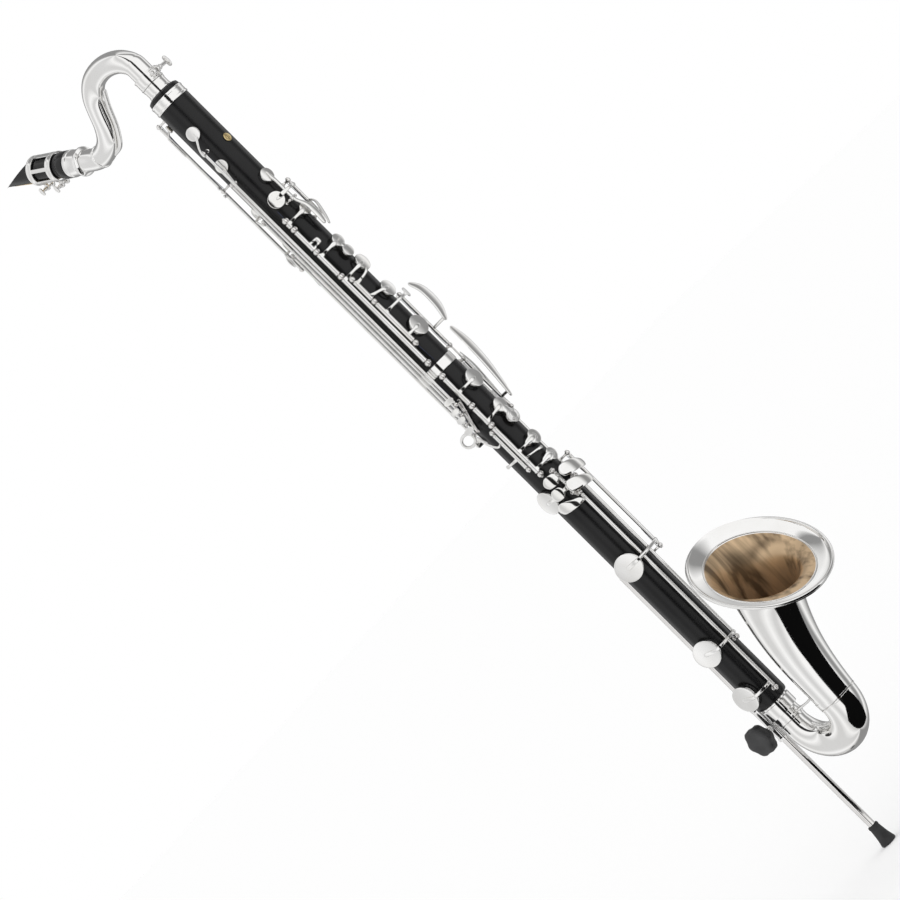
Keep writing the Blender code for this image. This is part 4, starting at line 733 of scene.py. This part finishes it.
# ---- Floor peg -----------------------------------------------------------------------------------
# A bright steel rod slides in a sleeve soldered to a clamp on the socket tube, and a moulded
# six-lobed knob locks it. Its foot is a rubber plug that widens to the floor.
steel = surfaced("nickelled_steel", (0.80, 0.785, 0.77), (0.90, 0.885, 0.87), 1.0, 0.12, 0.08, 40, 1200,
                 0.04)
rubber = surfaced("black_rubber", (0.016, 0.016, 0.017), (0.03, 0.03, 0.031), 0.0, 0.68, 0.15, 120, 1800,
                  0.5)
knob_plastic = surfaced("moulded_knob", (0.02, 0.02, 0.021), (0.032, 0.032, 0.033), 0.0, 0.46, 0.1, 90,
                        3200, 0.35)
PEG_R = 4.0
rod_low, rod_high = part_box("peg_rod")
low, high = rod_low.z / MM, rod_high.z / MM
rod_profile = eased([(0.05, low), (PEG_R, low), (PEG_R, high - 1.4), (PEG_R - 1.2, high), (0.05, high)],
                    0.5)
add_piece("peg_polished_rod", [turned((0, 0, 0), UP, rod_profile, 48)], [steel], "peg", ["peg_rod"])
foot = eased([(0.05, low - GAP), (0.05, 0.0), (7.6, 0.0), (8.5, 0.9), (8.5, 2.6), (7.9, 4.4), (6.9, 9.0),
              (6.0, 16.0),
              (5.5, 20.6), (5.9, 21.4), (5.9, 23.2), (5.4, 24.0), (PEG_R + GAP, 24.0),
              (PEG_R + GAP, low - GAP)], 0.6)
add_piece("peg_rubber_foot", [turned((0, 0, 0), UP, foot, 56)], [rubber], "peg", ["peg_foot"])
sleeve_r, sleeve_low, sleeve_high = PEG_R + 1.9, bottom - 37.0, bottom + 6.0
sleeve = eased([(PEG_R + GAP, sleeve_low), (sleeve_r, sleeve_low), (sleeve_r, sleeve_low + 3.0),
                (sleeve_r - 0.5, sleeve_low + 3.8), (sleeve_r - 0.5, sleeve_high - 3.8),
                (sleeve_r, sleeve_high - 3.0),
                (sleeve_r, sleeve_high), (PEG_R + GAP, sleeve_high)], 0.4, 4, True)
web_top, web_low = bottom - 2.0, bottom - 14.5
clamp = eased([(FERRULE_R + GAP, web_low), (FERRULE_R + 2.0, web_low), (FERRULE_R + 2.0, web_top),
               (FERRULE_R + GAP, web_top)], 0.6, 4, True)
web_mid = (web_top + web_low) / 2
knob_z = bottom - 20.0
boss = eased([(2.4, PEG_R + 0.9), (3.8, PEG_R + 0.9), (3.8, PEG_R + 4.8), (3.2, PEG_R + 6.0),
              (2.4, PEG_R + 6.0)], 0.4, 4,
             True)
shapes = [turned((0, 0, 0), UP, sleeve, 48, True), lathe(clamp, 72),
          bar(smooth([(0, -sleeve_r + 0.4, web_mid), (0, AXIS_Y + FERRULE_R + 1.4, web_mid)]), UP, 5.0,
              12.0, 6),
          turned((0, 0, knob_z), (-1, 0, 0), boss, 40, True)]
plated("peg_clamp_soldered", shapes, "peg_clamp")
KNOB_R = 16.5
depth = np.array([-18.0, -18.3, -19.2, -20.6, -26.9, -28.6, -29.3, -29.5, -29.1, -28.8])
share = np.array([0.70, 0.80, 0.94, 1.0, 1.0, 0.93, 0.84, 0.74, 0.52, 0.02])
t = np.arange(108) * 2 * pi / 108
lobe = KNOB_R * (0.945 + 0.055 * np.cos(6 * t))[None, :] * share[:, None]
lobe = lobe + (KNOB_R * 0.85 * share[:, None] - lobe) * (share[:, None] < 0.6)
rings = np.stack([np.broadcast_to(depth[:, None], lobe.shape), lobe * np.cos(t),
                  knob_z + lobe * np.sin(t)], -1)
stem = eased([(0.05, PEG_R + GAP + 0.2), (2.0, PEG_R + GAP + 0.2), (2.0, 14.5), (4.6, 15.6), (5.2, 18.4),
              (0.05, 18.4)],
             0.4)
add_piece("peg_six_lobed_knob", [skin(rings), turned((0, 0, knob_z), (-1, 0, 0), stem, 40)],
          [knob_plastic],
          "peg_knob", ["peg_knob"], sharp=50)

# ---- Hinge posts and axles -----------------------------------------------------------------------
# Turned posts with ball heads are screwed into the body, and each row of them carries one slim
# steel axle with a plain round head at each end. Fine blued springs run from the posts to the keys.
AXLE_R = 0.9
# Each hinge: angle, distance out of the body, tube radius, its posts' places down and ball radius.
HINGES = {
    "upper": (51.5, 6.6, 2.4, [172.2, 183.7, 213.8, 246.8, 363.5], 3.0),
    "front": (38.0, 6.6, 2.4, [256.4, 286.0, 341.5], 3.0),
    "lower": (50.0, 6.6, 2.4, [382.5, 422.4, 448.7, 514.7], 3.0),
    "cross": (62.0, 6.6, 1.8, [454.5, 503.5], 2.4),
    "left": (-75.0, 7.2, 1.8, [298.0, 366.5, 385.0, 450.0], 2.6),
    "left_low": (-93.0, 7.2, 1.8, [385.0, 515.0], 2.6),
    "throat": (-48.0, 7.2, 1.8, [145.0, 188.0], 2.6),
    "low_1": (-42.0, 11.0, 1.8, [519.5, 645.5], 2.6),
    "low_2": (-14.6, 5.0, 1.8, [539.5, 758.5], 2.6),
    "low_3": (13.0, 4.6, 1.8, [553.5, 818.5], 2.6),
    "pinky": (24.0, 5.7, 1.8, [520.5, 548.8], 2.4),
    "register": (150.0, 9.2, 1.6, [21.0, 108.0, 214.0], 2.4),
    "trill_1": (69.5, 9.5, 1.4, [72.0, 410.35], 2.0), "trill_2": (79.0, 7.9, 1.4, [112.0, 421.85], 2.0),
    "trill_3": (90.0, 7.9, 1.4, [158.0, 431.35], 2.0), "trill_4": (102.3, 7.9, 1.4, [200.0, 443.85], 2.0),
}


def hinge_at(name, down):
    angle, out = HINGES[name][:2]
    return spot(BODY_R + out, angle, down)


def post(name, down):
    """A turned post: flange, stem and a ball, (b sin q, R - b cos q) for q from 0.5 to pi."""
    angle, out, _, _, b = HINGES[name]
    foot, centre = BODY_R + 0.05, BODY_R + out
    q = np.linspace(0.5, 3.1, 14)
    stem = [(0.05, foot), (b * 0.95, foot), (b * 0.95, foot + 0.55), (b * 0.62, foot + 1.1),
            (b * 0.46, (foot + centre - b) / 2 + 0.4)]
    profile = np.vstack([eased(stem, 0.3, 3), np.stack([b * np.sin(q), centre - b * np.cos(q)], 1)])
    return turned((0, AXIS_Y, z_at(down)), outward(angle), profile, 28)


def axle(name):
    """The steel rod through a row of posts, with a flat round head standing out at each end."""
    first, last = HINGES[name][3][0], HINGES[name][3][-1]
    reach = HINGES[name][4] + 0.35
    base, length = hinge_at(name, last), (last - first) * STATION
    shapes = [turned(base, UP, [(0.05, -reach + 0.6), (AXLE_R, -reach + 0.6),
                                (AXLE_R, length + reach - 0.6),
                                (0.05, length + reach - 0.6)], 16)]
    for level in (-reach + 0.4, length + reach - 0.4):
        head = eased([(0.05, level - 0.4), (1.25, level - 0.4), (1.25, level + 0.4),
                      (0.05, level + 0.4)], 0.2, 3)
        shapes.append(turned(base, UP, head, 24))
    return shapes


def curved_bar(start, end, widths, thicks, hump=0.0, power=2.6):
    """A bar from one (radius, angle, z) to another round the body, raised by hump sin(pi t)."""
    t = SHARES
    r, a, z = (start[i] + (end[i] - start[i]) * t for i in range(3))
    return bar(polar(r + hump * np.sin(pi * t), a, z), outward(a), widths, thicks, power)


def radial(path):
    """The direction from the bore's axis out to each point of a path."""
    out = path - np.array([0.0, AXIS_Y, 0.0])
    out[:, 2] = 0
    return out


POST_SETS = {
    "upper_hinge": [("upper", 0)], "front_hinge": [("front", 0)], "lower_hinge": [("lower", 0)],
    "cross_hinge": [("cross", 0)], "throat_hinge": [("throat", 0)], "register_hinge": [("register", 0)],
    "left_lever_hinges": [("left", 2), ("left_low", 0)],
    "trill_hinges": [("trill_1", 1), ("trill_2", 1), ("trill_3", 1), ("trill_4", 1)],
    "low_hinges": [("pinky", 1), ("low_3", 0), ("low_2", 0), ("low_1", 0)],
}
for set_name, members in POST_SETS.items():
    shapes = []
    for hinge, _ in members:
        shapes += axle(hinge) + [post(hinge, down) for down in HINGES[hinge][3]]
    feet = [(BODY_R + GAP + 1.0, HINGES[h][0], z_at(HINGES[h][3][i])) for h, i in members]
    shapes += [curved_bar(start_foot, end_foot, 4.6, 1.4) for start_foot, end_foot in zip(feet, feet[1:])]
    add_piece(f"{set_name}_posts", shapes, [steel], "instrument", [set_name])
blued = surfaced("blued_spring", (0.05, 0.06, 0.11), (0.10, 0.12, 0.2), 1.0, 0.25, 0.1, 200, 2000, 0.05)
shapes = []
for hinge, (angle, out, _, posts, ball_r) in HINGES.items():
    for down, way in zip(posts, [1, -1, 1, -1, -1]):
        low_r = BODY_R + max(out - ball_r - 0.2, 1.2)
        reach = min(24.0, 0.6 * (posts[-1] - posts[0]))
        tip = spot(low_r + 0.9, angle - 3, down + way * reach)
        shapes.append(bar(smooth([spot(low_r, angle, down), tip]), (0, -1, 0.01), 0.5, 0.5, 2, 8))
add_piece("needle_springs", shapes, [blued], "instrument", [])

# ---- Finger plates and pads of the two stacks ------------------------------------------------------
# Forged and plated keys: tubes that turn on the axles, with arms brazed on that end in round cups.
# Each cup holds a pad of felt in pale skin, and its top is slightly domed.
key_silver = surfaced("plated_keys", (0.84, 0.83, 0.81), (0.93, 0.925, 0.915), 1.0, 0.09, 0.07, 35, 1100,
                      0.04)
pad_skin = surfaced("pad_skin", (0.66, 0.57, 0.43), (0.78, 0.70, 0.56), 0.0, 0.62, 0.1, 150, 1600, 0.25)
CUP_TALL, LIFT = 3.6, 2.2


def cup_base(is_open):
    return BODY_R + RIM_OUT + GAP + (LIFT if is_open else 0.0)


def cup(angle, down, radius, is_open, tall=CUP_TALL, rings=(), vent=False):
    """A cup and its pad: a rolled edge and a dome, height = top + 0.1 - 0.7 s^2 at s of its radius."""
    base = cup_base(is_open)
    top = base + tall
    wall = eased([(0.05, base + 1.0), (radius - 0.7, base + 1.0), (radius - 0.7, base + 0.55),
                  (radius, base + 0.55),
                  (radius, top - 1.0), (radius * 0.97, top - 0.62)], 0.3, 4)
    share = np.linspace(0.95, 0.24 if vent else 0.03, 60 if rings else 12)
    creases = 0.35 * sum(np.exp(-((share - q) / 0.045) ** 2) for q in rings)
    height = top + 0.1 - 0.7 * share ** 2 - creases
    dip = [(radius * 0.21, top - 0.3), (radius * 0.2, top - 1.6),
           (0.05, top - 1.6)] if vent else np.zeros((0, 2))
    wall = np.vstack([wall, np.stack([radius * share, height], 1), dip])
    pad = eased([(0.05, base + 0.05), (radius - 1.7, base + 0.05), (radius - 0.8, base + 0.45),
                 (radius - 0.8, base + 1.1),
                 (0.05, base + 1.1)], 0.3, 4)
    origin_here = (0, AXIS_Y, z_at(down))
    return [turned(origin_here, outward(angle), wall, 56)], [turned(origin_here, outward(angle), pad, 40)]


def hinge_tube(name, upper, lower):
    """A key's tube between two places, each (down, is a post), with a thin collar at each end."""
    _, _, tube_r, _, ball_r = HINGES[name]
    low = (ball_r + GAP) if lower[1] else GAP / 2
    high = (ball_r + GAP) if upper[1] else GAP / 2
    base, length = hinge_at(name, lower[0]), (lower[0] - upper[0]) * STATION
    high = length - high
    c, bore = tube_r + 0.18, AXLE_R + 0.1
    profile = eased([(bore, low), (c, low), (c, low + 1.3), (tube_r, low + 1.6), (tube_r, high - 1.6),
                     (c, high - 1.3),
                     (c, high), (bore, high)], 0.2, 3, True)
    return turned(base, UP, profile, 30, True)


def cup_arm(hinge, hole, down=None, widths=(5.0, 3.2, 3.0, 4.4, 2.4), hump=1.0, tall=CUP_TALL, short=0.0):
    """An arm from a tube over to a cup, stopping short of its middle by a share of the way."""
    h_angle, out = HINGES[hinge][:2]
    angle, hole_down, _, is_open = HOLES[hole]
    z = z_at(hole_down if down is None else down)
    begin = np.array([BODY_R + out + 0.4, h_angle, z])
    finish = np.array([cup_base(is_open) + tall + 0.45, angle, z_at(hole_down)])
    return curved_bar(begin, finish + (begin - finish) * short, widths, [2.6, 1.9, 1.7, 1.7, 1.2], hump)


def add_key(node, hinge, upper, lower, cups=(), others=()):
    """One key: its tube, its cups with their pads, and its arms and touches."""
    metal, pads = list(others), []
    if hinge:
        metal.append(hinge_tube(hinge, upper, lower))
    for cup_metal, cup_pad in cups:
        metal += cup_metal
        pads += cup_pad
    marks = np.concatenate([np.full(len(q) + len(c), 0) for _, q, c in metal]
                           + [np.full(len(q) + len(c), 1) for _, q, c in pads])
    add_piece(f"{node}_forged", metal + pads, [key_silver, pad_skin], node, [node], marks)


open_top = cup_base(True) + CUP_TALL
add_key("side_key", "upper", (172.2, True), (183.7, True), [cup(*HOLES["side"])],
        [cup_arm("upper", "side")])
upper_r = BODY_R + 6.6
bracket = [curved_bar((upper_r, 51.5, z_at(q)), (BODY_R + 7.2, 30, z_at(207 + (q - 207) * 0.7)),
                      [3.0, 2.2, 2.6], 1.9, 0.6)
           for q in (203.8, 210.2)]
bracket.append(bar(smooth([spot(BODY_R + 7.3, 30, q) for q in (203.5, 207.0, 210.5)]), outward(30),
                   [3.0, 4.2, 3.0], 1.9))
add_key("upper_link_key", "upper", (183.7, True), (213.8, True), (), bracket)
angle, down, radius, _ = HOLES["upper_1"]
add_key("upper_plateau_1", "upper", (213.8, True), (246.8, True),
        [cup(angle, down, radius, True, vent=True), cup(angle, 233.4, 6.6, True, CUP_TALL)],
        [cup_arm("upper", "upper_1", short=0.12),
         bar(smooth([spot(open_top - 0.9, angle, q) for q in (224.0, 229.0)]), outward(angle), 6.5, 1.6)])
angle, down, radius, _ = HOLES["upper_2"]
add_key("upper_plateau_2", "upper", (246.8, True), (363.5, True), [cup(angle, down, radius, True)],
        [cup_arm("upper", "upper_2", 251.9)])
angle, down, radius, _ = HOLES["upper_3"]
hook = bar(smooth([spot(upper_r, 38, 262.3), spot(open_top + 2.6, 22, 261.8),
                   spot(open_top + 2.8, 8, 260.4), spot(open_top + 2.3, -3, 258.0)]),
           outward(20), [4.4, 2.6, 2.6, 3.4], 1.8)
add_key("upper_plateau_3", "front", (256.4, True), (286.0, True), [cup(angle, down, radius, True)],
        [cup_arm("front", "upper_3", 279.5), hook])
angle, down, radius, _ = HOLES["bridge"]
lever = curved_bar((upper_r, 38, z_at(301.4)), (BODY_R + 12.0, -34, z_at(301.4)),
                   [5.0, 3.0, 2.8, 3.2, 3.6], 2.0, 1.2)
lever_end = bar(smooth([spot(BODY_R + 12.2, -34, q) for q in (295.5, 299.0, 303.0, 306.5)]), outward(-34),
                [4.5, 7.0, 7.0, 4.5], 1.9)
add_key("bridge_key", "front", (286.0, True), (341.5, True), [cup(angle, down, radius, False)],
        [cup_arm("front", "bridge"), lever, lever_end])
angle, down, radius, _ = HOLES["lower_1"]
add_key("lower_plateau_1", "lower", (382.5, True), (422.4, True), [cup(angle, down, radius, True)],
        [cup_arm("lower", "lower_1")])
angle, down, radius, _ = HOLES["lower_2"]
link = bar(smooth([spot(open_top - 0.9, -3, q) for q in (443.0, 453.0)]), outward(-3), 8.0, 2.2)
add_key("lower_plateau_2", "lower", (422.4, True), (448.7, True),
        [cup(angle, down, radius, True), cup(-5.0, 456.3, 7.8, True, CUP_TALL + 0.6, (0.55, 0.78))],
        [link, cup_arm("lower", "lower_2", 443.4)])
for name, hole, span in (("lower_spoon_1", "lower_3", ((448.7, True), (497.5, False))),
                         ("lower_spoon_2", "lower_4", ((497.5, False), (514.7, True)))):
    angle, down, radius, _ = HOLES[hole]
    spoon = curved_bar((open_top + 0.5, 30, z_at(down)), (open_top + 0.3, angle - 4, z_at(down)),
                       [3.0, 6.2, 8.0, 8.4, 7.0], [1.6, 1.5, 1.4, 1.3, 1.2], -0.25, 2.2)
    add_key(name, "lower", *span, [cup(angle, down, radius, True)], [cup_arm("lower", hole), spoon])

# ---- Cross key and its guard -----------------------------------------------------------------------
# A short side key whose thin arm passes slantwise under the lower stack to the front of the body.
# A round wire guard curves back from the same tube to the right of the body.
cross_r, low_r = BODY_R + 6.6, BODY_R + 2.9
front_arm = curved_bar((cross_r - 0.6, 63, z_at(493)), (low_r - 0.1, 57.5, z_at(493)), 3.0, 1.9)
across_arm = curved_bar((low_r, 60, z_at(493)), (low_r + 0.3, -9, z_at(497.4)),
                        [2.8, 2.2, 2.2, 2.6, 3.4], 1.5)
back_arm = curved_bar((cross_r + 0.4, 62, z_at(489)), (BODY_R + 8.5, 97, z_at(488.5)),
                      [4.2, 2.8, 2.8, 4.6], 1.9, 0.4)
guard = bar(smooth([spot(cross_r + 0.6, 62, 467), spot(BODY_R + 9, 72, 468),
                    spot(BODY_R + 9.6, 84, 460), spot(BODY_R + 9.6, 93, 447)]), outward(80), 2.4, 2.4, 2)
add_key("cross_key", "cross", (454.5, True), (503.5, True), (), [front_arm, across_arm, back_arm, guard])

# ---- Trill keys --------------------------------------------------------------------------------
# Four long tubes lie side by side along the right of the body. Each has a small shut cup near the
# top on a slim curved arm, and a rounded touch plate for the side of the right forefinger.
TRILL_TALL = 2.3
TRILLS = {
    "trill_1": ((404.0, 72.0, 4.6, 12.6), (3.0, 3.2, (69.5, 66.8))),
    "trill_2": ((415.5, 80.5, 4.5, 12.4), (5.8, -3.0, (75.0, 72.6))),
    "trill_3": ((425.0, 84.0, 4.0, 12.4), (3.0, 3.4, (90.0, 95.7))),
    "trill_4": ((437.5, 88.0, 4.4, 15.0), (3.0, 3.4, (102.3, 107.9))),
}
for name, ((t_down, t_angle, t_out, t_long), (below, arm_out, (first, second))) in TRILLS.items():
    angle, down, radius, _ = HOLES[name]
    h_angle, out, _, posts, _ = HINGES[name]
    top, hinge_r = cup_base(False) + TRILL_TALL, BODY_R + out
    z_end = z_at(posts[0]) - below
    arm_line = smooth([polar(hinge_r, h_angle, z_end), polar(hinge_r + arm_out, first, z_end + 2),
                       polar(hinge_r + arm_out, second, z_end + 8.5),
                       polar(top + 0.5, angle, z_at(down) - radius + 2.5),
                       polar(top + 0.5, angle, z_at(down) + 0.8)])
    arm = bar(arm_line, outward(angle), [3.2, 2.6, 2.2, 2.8, 1.6], [2.2, 1.9, 1.7, 1.5, 1.0])
    a = radians(t_angle)
    way = np.array([-cos(a), sin(a), 0.0])
    middle = spot(hinge_r + t_out, t_angle, t_down)
    touch = bar(smooth([middle + way * t_long * q for q in (-0.5, 0.0, 0.5)]), outward(t_angle),
                [4.4, 6.4, 4.4],
                [1.5, 2.0, 1.5], 2.3)
    foot = bar(smooth([hinge_at(name, t_down), spot(hinge_r + t_out, h_angle, t_down)]), UP, [3.4, 2.4],
               2.6, 2)
    add_key(f"{name}_key", name, (posts[0], True), (t_down + 4.0, False),
            [cup(angle, down, radius, False, TRILL_TALL)],
            [arm, touch, foot])

# ---- Left-hand levers --------------------------------------------------------------------------
# Three long polished blades stand out along the left of the body for the left little finger.
# Each is forged to a slender leaf and brazed by a short foot to its tube.
LEVERS = {
    "left_lever_1": ("left", (298.0, 366.5), -60.0, -15.0,
                     ((296, 19.0, 5.0), (310, 25.0, 12.0), (330, 25.0, 13.0), (347, 20.0, 6.0)), 344.0),
    "left_lever_2": ("left", (385.0, 450.0), -58.0, -15.0,
                     ((354, 18.0, 6.0), (374, 19.5, 12.0), (400, 18.5, 12.0), (424, 15.5, 8.0),
                      (443, 12.5, 4.0)), 437.0),
    "left_lever_3": ("left_low", (385.0, 515.0), -88.0, -50.0,
                     ((378, 14.0, 5.0), (396, 15.5, 11.0), (420, 13.5, 9.0), (452, 10.0, 4.0)), 447.0),
}
for name, (hinge, (upper, lower), angle, facing, stations, foot_down) in LEVERS.items():
    downs, outs, widths = np.array(stations, float).T
    blade = bar(smooth(spot(BODY_R + outs, angle, downs)), outward(facing), widths, [1.4, 2.2, 2.4, 1.6],
                2.2, 26)
    foot_out = np.interp(foot_down, downs, outs)
    foot = bar(smooth([hinge_at(hinge, foot_down), spot(BODY_R + foot_out, angle, foot_down)]), UP,
               [4.2, 3.0], 3.0)
    add_key(name, hinge, (upper, True), (lower, True), (), [blade, foot])

# ---- Throat keys -------------------------------------------------------------------------------
# Two keys for the left forefinger: one on a cross-standing hinge whose arm arches over the body to
# its cup, and one long rocking lever held by a pin between two small posts.
throat_r = BODY_R + 7.2
angle, down, radius, _ = HOLES["a"]
top = cup_base(False) + CUP_TALL
arm = curved_bar((throat_r + 0.5, -48, z_at(151.6)), (top + 0.5, angle, z_at(151.6)),
                 [4.6, 3.0, 3.0, 3.2, 4.4, 1.8],
                 [2.4, 2.0, 1.8, 1.5], 4.4)
touch = bar(smooth([spot(throat_r + 0.8, -46, 172), spot(BODY_R + 12, -40, 178),
                    spot(BODY_R + 11, -28, 192), spot(BODY_R + 9.5, -20, 203)]), outward(-35),
            [3.4, 4.4, 7.0, 7.4, 4.5], [2.2, 2.0, 1.8, 1.4], 2.3)
add_key("a_key", "throat", (145.0, True), (188.0, True), [cup(angle, down, radius, False)], [arm, touch])
angle, down, radius, _ = HOLES["gsharp"]
rock_r = BODY_R + 6.8
rocker = bar(smooth([spot(top + 0.4, angle, down - 3), spot(top + 0.8, angle, down + 5),
                     spot(rock_r, angle, down + 12), spot(rock_r, angle, 161),
                     spot(rock_r + 1.6, angle - 3, 168), spot(rock_r + 4.1, angle - 7, 176),
                     spot(rock_r + 3.8, angle - 10, 188), spot(rock_r + 2, angle - 10, 200)]),
             outward(angle), [2.0, 4.2, 3.8, 4.0, 4.2, 6.0, 7.4, 4.4],
             [1.4, 2.0, 2.0, 2.0, 1.9, 1.8, 1.8, 1.4], 2.4)
across = np.cross(outward(angle), UP)
pivot = spot(rock_r - 1.0, angle, 161)
hub = turned(pivot, across, eased([(1.0, -3), (2.2, -3), (2.2, 3), (1.0, 3)], 0.3, 3, True), 30, True)
add_key("gsharp_key", None, None, None, [cup(angle, down, radius, False)], [rocker, hub])
shapes = [turned(pivot, across, [(0.05, -6.2), (0.85, -6.2), (0.85, 6.2), (0.05, 6.2)], 16)]
q = np.linspace(0.5, 3.1, 12)
for sign in (-1, 1):
    base = pivot + across * sign * 5.0 - outward(angle) * (rock_r - 1.0 - BODY_R)
    tall = rock_r - 1.0 - BODY_R
    profile = np.vstack([eased([(0.05, 0.05), (1.9, 0.05), (1.9, 0.5), (1.0, 1.0), (0.85, tall - 1.6)],
                               0.2, 3),
                         np.stack([1.6 * np.sin(q), tall - 1.6 * np.cos(q)], 1)])
    shapes.append(turned(base, outward(angle), profile, 24))
add_piece("rocker_posts", shapes, [steel], "instrument", ["gsharp_posts"])

# ---- Register keys -----------------------------------------------------------------------------
# On the back a thumb lever turns a second key on the same axle, which lifts a small pad from the
# vent near the top. Each has a short link plate that lies on the other's.
angle, down, radius, _ = HOLES["register"]
back_r = BODY_R + 9.2
top = cup_base(False) + 3.0
arm = curved_bar((back_r, 150, z_at(down + 5)), (top - 0.4, 150, z_at(down)), [3.2, 3.0, 3.4, 2.0], 1.8)
plate = bar(smooth([spot(back_r + 1.0, 150, q) for q in (34, 40, 54, 60)]), outward(150), [4, 5, 5, 4],
            2.4)
link = curved_bar((back_r, 150, z_at(103.5)), (back_r - 0.5, 134, z_at(103.5)), [3.6, 3.0, 4.2], 1.8, 0.5)
add_key("register_vent_key", "register", (21.0, True), (108.0, True),
        [cup(angle, down, radius, False, 3.0)],
        [arm, plate, link])
touch_line = smooth([spot(back_r + 3.0, q, 202) for q in (142, 149, 156, 163, 169)])
touch = bar(touch_line, radial(touch_line), [6, 11.5, 13, 11, 6], 2.0, 2.3)
foot = bar(smooth([hinge_at("register", 202), spot(back_r + 3.0, 150, 202)]), UP, 3.4, 3.2)
link = curved_bar((back_r, 150, z_at(113)), (back_r + 0.8, 132, z_at(113)), [3.6, 3.0, 4.2], 1.8, 0.8)
add_key("register_lever", "register", (108.0, True), (214.0, True), (), [touch, foot, link])

# ---- Low keys ----------------------------------------------------------------------------------
# Three teardrop paddles for the right little finger turn long tubes that reach down the body. Far
# below, an arched arm with a spear-shaped end carries each of the three biggest cups.
LOW_KEYS = {
    "low_1": (638.0, 13.4, 15.6, ((-46, 536, 7), (-34, 535, 9), (-20, 532.5, 11), (-6, 530, 12.5),
                                  (8, 528, 13),
                            (18, 527, 11), (24, 526.5, 7)), (-42.0, 534.5)),
    "low_2": (752.4, 11.4, 12.8, ((-32, 551, 7), (-20, 550, 9), (-6, 548, 11), (8, 545.5, 12.5),
                                  (20, 543.5, 13),
                            (28, 542, 11), (33, 541.5, 7)), (-14.6, 549.0)),
    "low_3": (810.4, 11.4, 9.6, ((24, 559.5, 5), (34, 558.5, 7), (46, 557, 9), (58, 555, 11),
                                 (68, 553.5, 11),
                           (77, 552.5, 7)), (28.0, 560.5)),
}
for name, (arm_down, arm_out, touch_out, stations, (foot_angle, foot_down)) in LOW_KEYS.items():
    over = BODY_R + arm_out
    angle, down, radius, _ = HOLES[name]
    h_angle, _, _, posts, _ = HINGES[name]
    z = z_at(arm_down)
    land_r = cup_base(True) + CUP_TALL + 0.4 + 0.45
    arm_line = smooth([hinge_at(name, arm_down), polar(over, h_angle + 14, z),
                       polar(over, (h_angle + angle) / 2 + 4, z),
                       polar(over - 0.6, angle - 22, z), spot(land_r, angle, down),
                       spot(land_r - 0.2, angle + 6, down)])
    arm = bar(arm_line, radial(arm_line), [4.6, 3.4, 3.2, 3.4, 4.6, 1.6], [2.4, 2.1, 2.0, 2.0, 1.6, 0.9],
              2.4)
    angles, downs, widths = np.array(stations, float).T
    touch_line = smooth(spot(BODY_R + touch_out, angles, downs))
    paddle = bar(touch_line, radial(touch_line), widths + 0.4, 2.2, 2.5, 26)
    foot = bar(smooth([hinge_at(name, foot_down), spot(BODY_R + touch_out, foot_angle, foot_down)]), UP,
               [4.4, 3.6], 3.4)
    add_key(f"{name}_key", name, (posts[0], True), (posts[1], True),
            [cup(angle, down, radius, True, CUP_TALL + 0.4)],
            [arm, paddle, foot])

# ---- Oval keys ---------------------------------------------------------------------------------
# Two oval touches beside the paddles share one short axle, and the lower one also works a small
# cup on the right of the body.
pinky_r, oval_r = BODY_R + 5.7, BODY_R + 9.2
for name, upper, lower, touch_down, angles in (
        ("oval_key_1", (520.5, True), (535.2, False), 528.0, (27, 34, 44, 54, 62)),
        ("oval_key_2", (535.2, False), (548.8, True), 541.6, (38, 44, 53, 62, 68))):
    touch_line = smooth([spot(oval_r, a, touch_down - 0.6 * i) for i, a in enumerate(angles)])
    oval = bar(touch_line, radial(touch_line), [8.5, 11.2, 12.2, 11.4, 8.0], [1.6, 2.2, 2.4, 2.2, 1.5],
               2.2, 26)
    foot = curved_bar((pinky_r + 0.5, 24, z_at(touch_down)), (oval_r, angles[1], z_at(touch_down)),
                      [5.0, 4.0], 1.9, 0.8)
    shapes, cups = [oval, foot], []
    if name == "oval_key_2":
        angle, down, radius, _ = HOLES["pinky"]
        cups.append(cup(angle, down, radius, False))
        shapes.append(curved_bar((oval_r, 62, z_at(touch_down)),
                                 (cup_base(False) + CUP_TALL + 0.5, angle, z_at(down)),
                                 [4.0, 3.2, 3.2, 4.4, 1.8], 2.0, 0.6))
    add_key(name, "pinky", upper, lower, cups, shapes)

# ---- Thumb rest and strap ring -----------------------------------------------------------------
# A plated plate is screwed to the back of the lower body. It carries a curved rest for the right
# thumb and a ring of round wire that the neck strap hooks into.
angle, z, r = 160.0, z_at(444.7), BODY_R + GAP
d = outward(angle)
base_plate = bar(smooth([polar(r + 0.9, angle, z + q) for q in (-13, 0, 13)]), d, 11, 1.9, 3)
rest = curved_bar((r + 1.5, angle, z - 9), (r + 9.5, angle - 22, z - 9), [7.4, 7.0, 7.4], 2.6, 1.0)
stalk = bar(smooth([polar(r + 1.0, angle, z), polar(r + 8.4, angle, z)]), UP, 4.8, 4.8, 2)
centre = polar(r + 15.5, angle, z)
t = np.arange(64) * 2 * pi / 64
out = d * np.cos(t)[:, None] + UP * np.sin(t)[:, None]
loop_line = centre + d * 7.6 * np.cos(t)[:, None] + UP * 6.6 * np.sin(t)[:, None]
k = np.arange(18) * 2 * pi / 18
loop_rings = loop_line[:, None] + 1.5 * (np.cos(k)[None, :, None] * out[:, None]
                                         + np.sin(k)[None, :, None] * np.cross(d, UP))
heads = [turned(polar(r + 1.6, angle, z + q), d, eased([(0.05, 0), (2.2, 0), (2.0, 0.7), (0.05, 1.1)],
                                                       0.3, 3), 24)
         for q in (-11.0, 11.0)]
plated("thumb_rest_and_ring", [base_plate, rest, stalk, skin(loop_rings, True)] + heads, "thumb_rest")
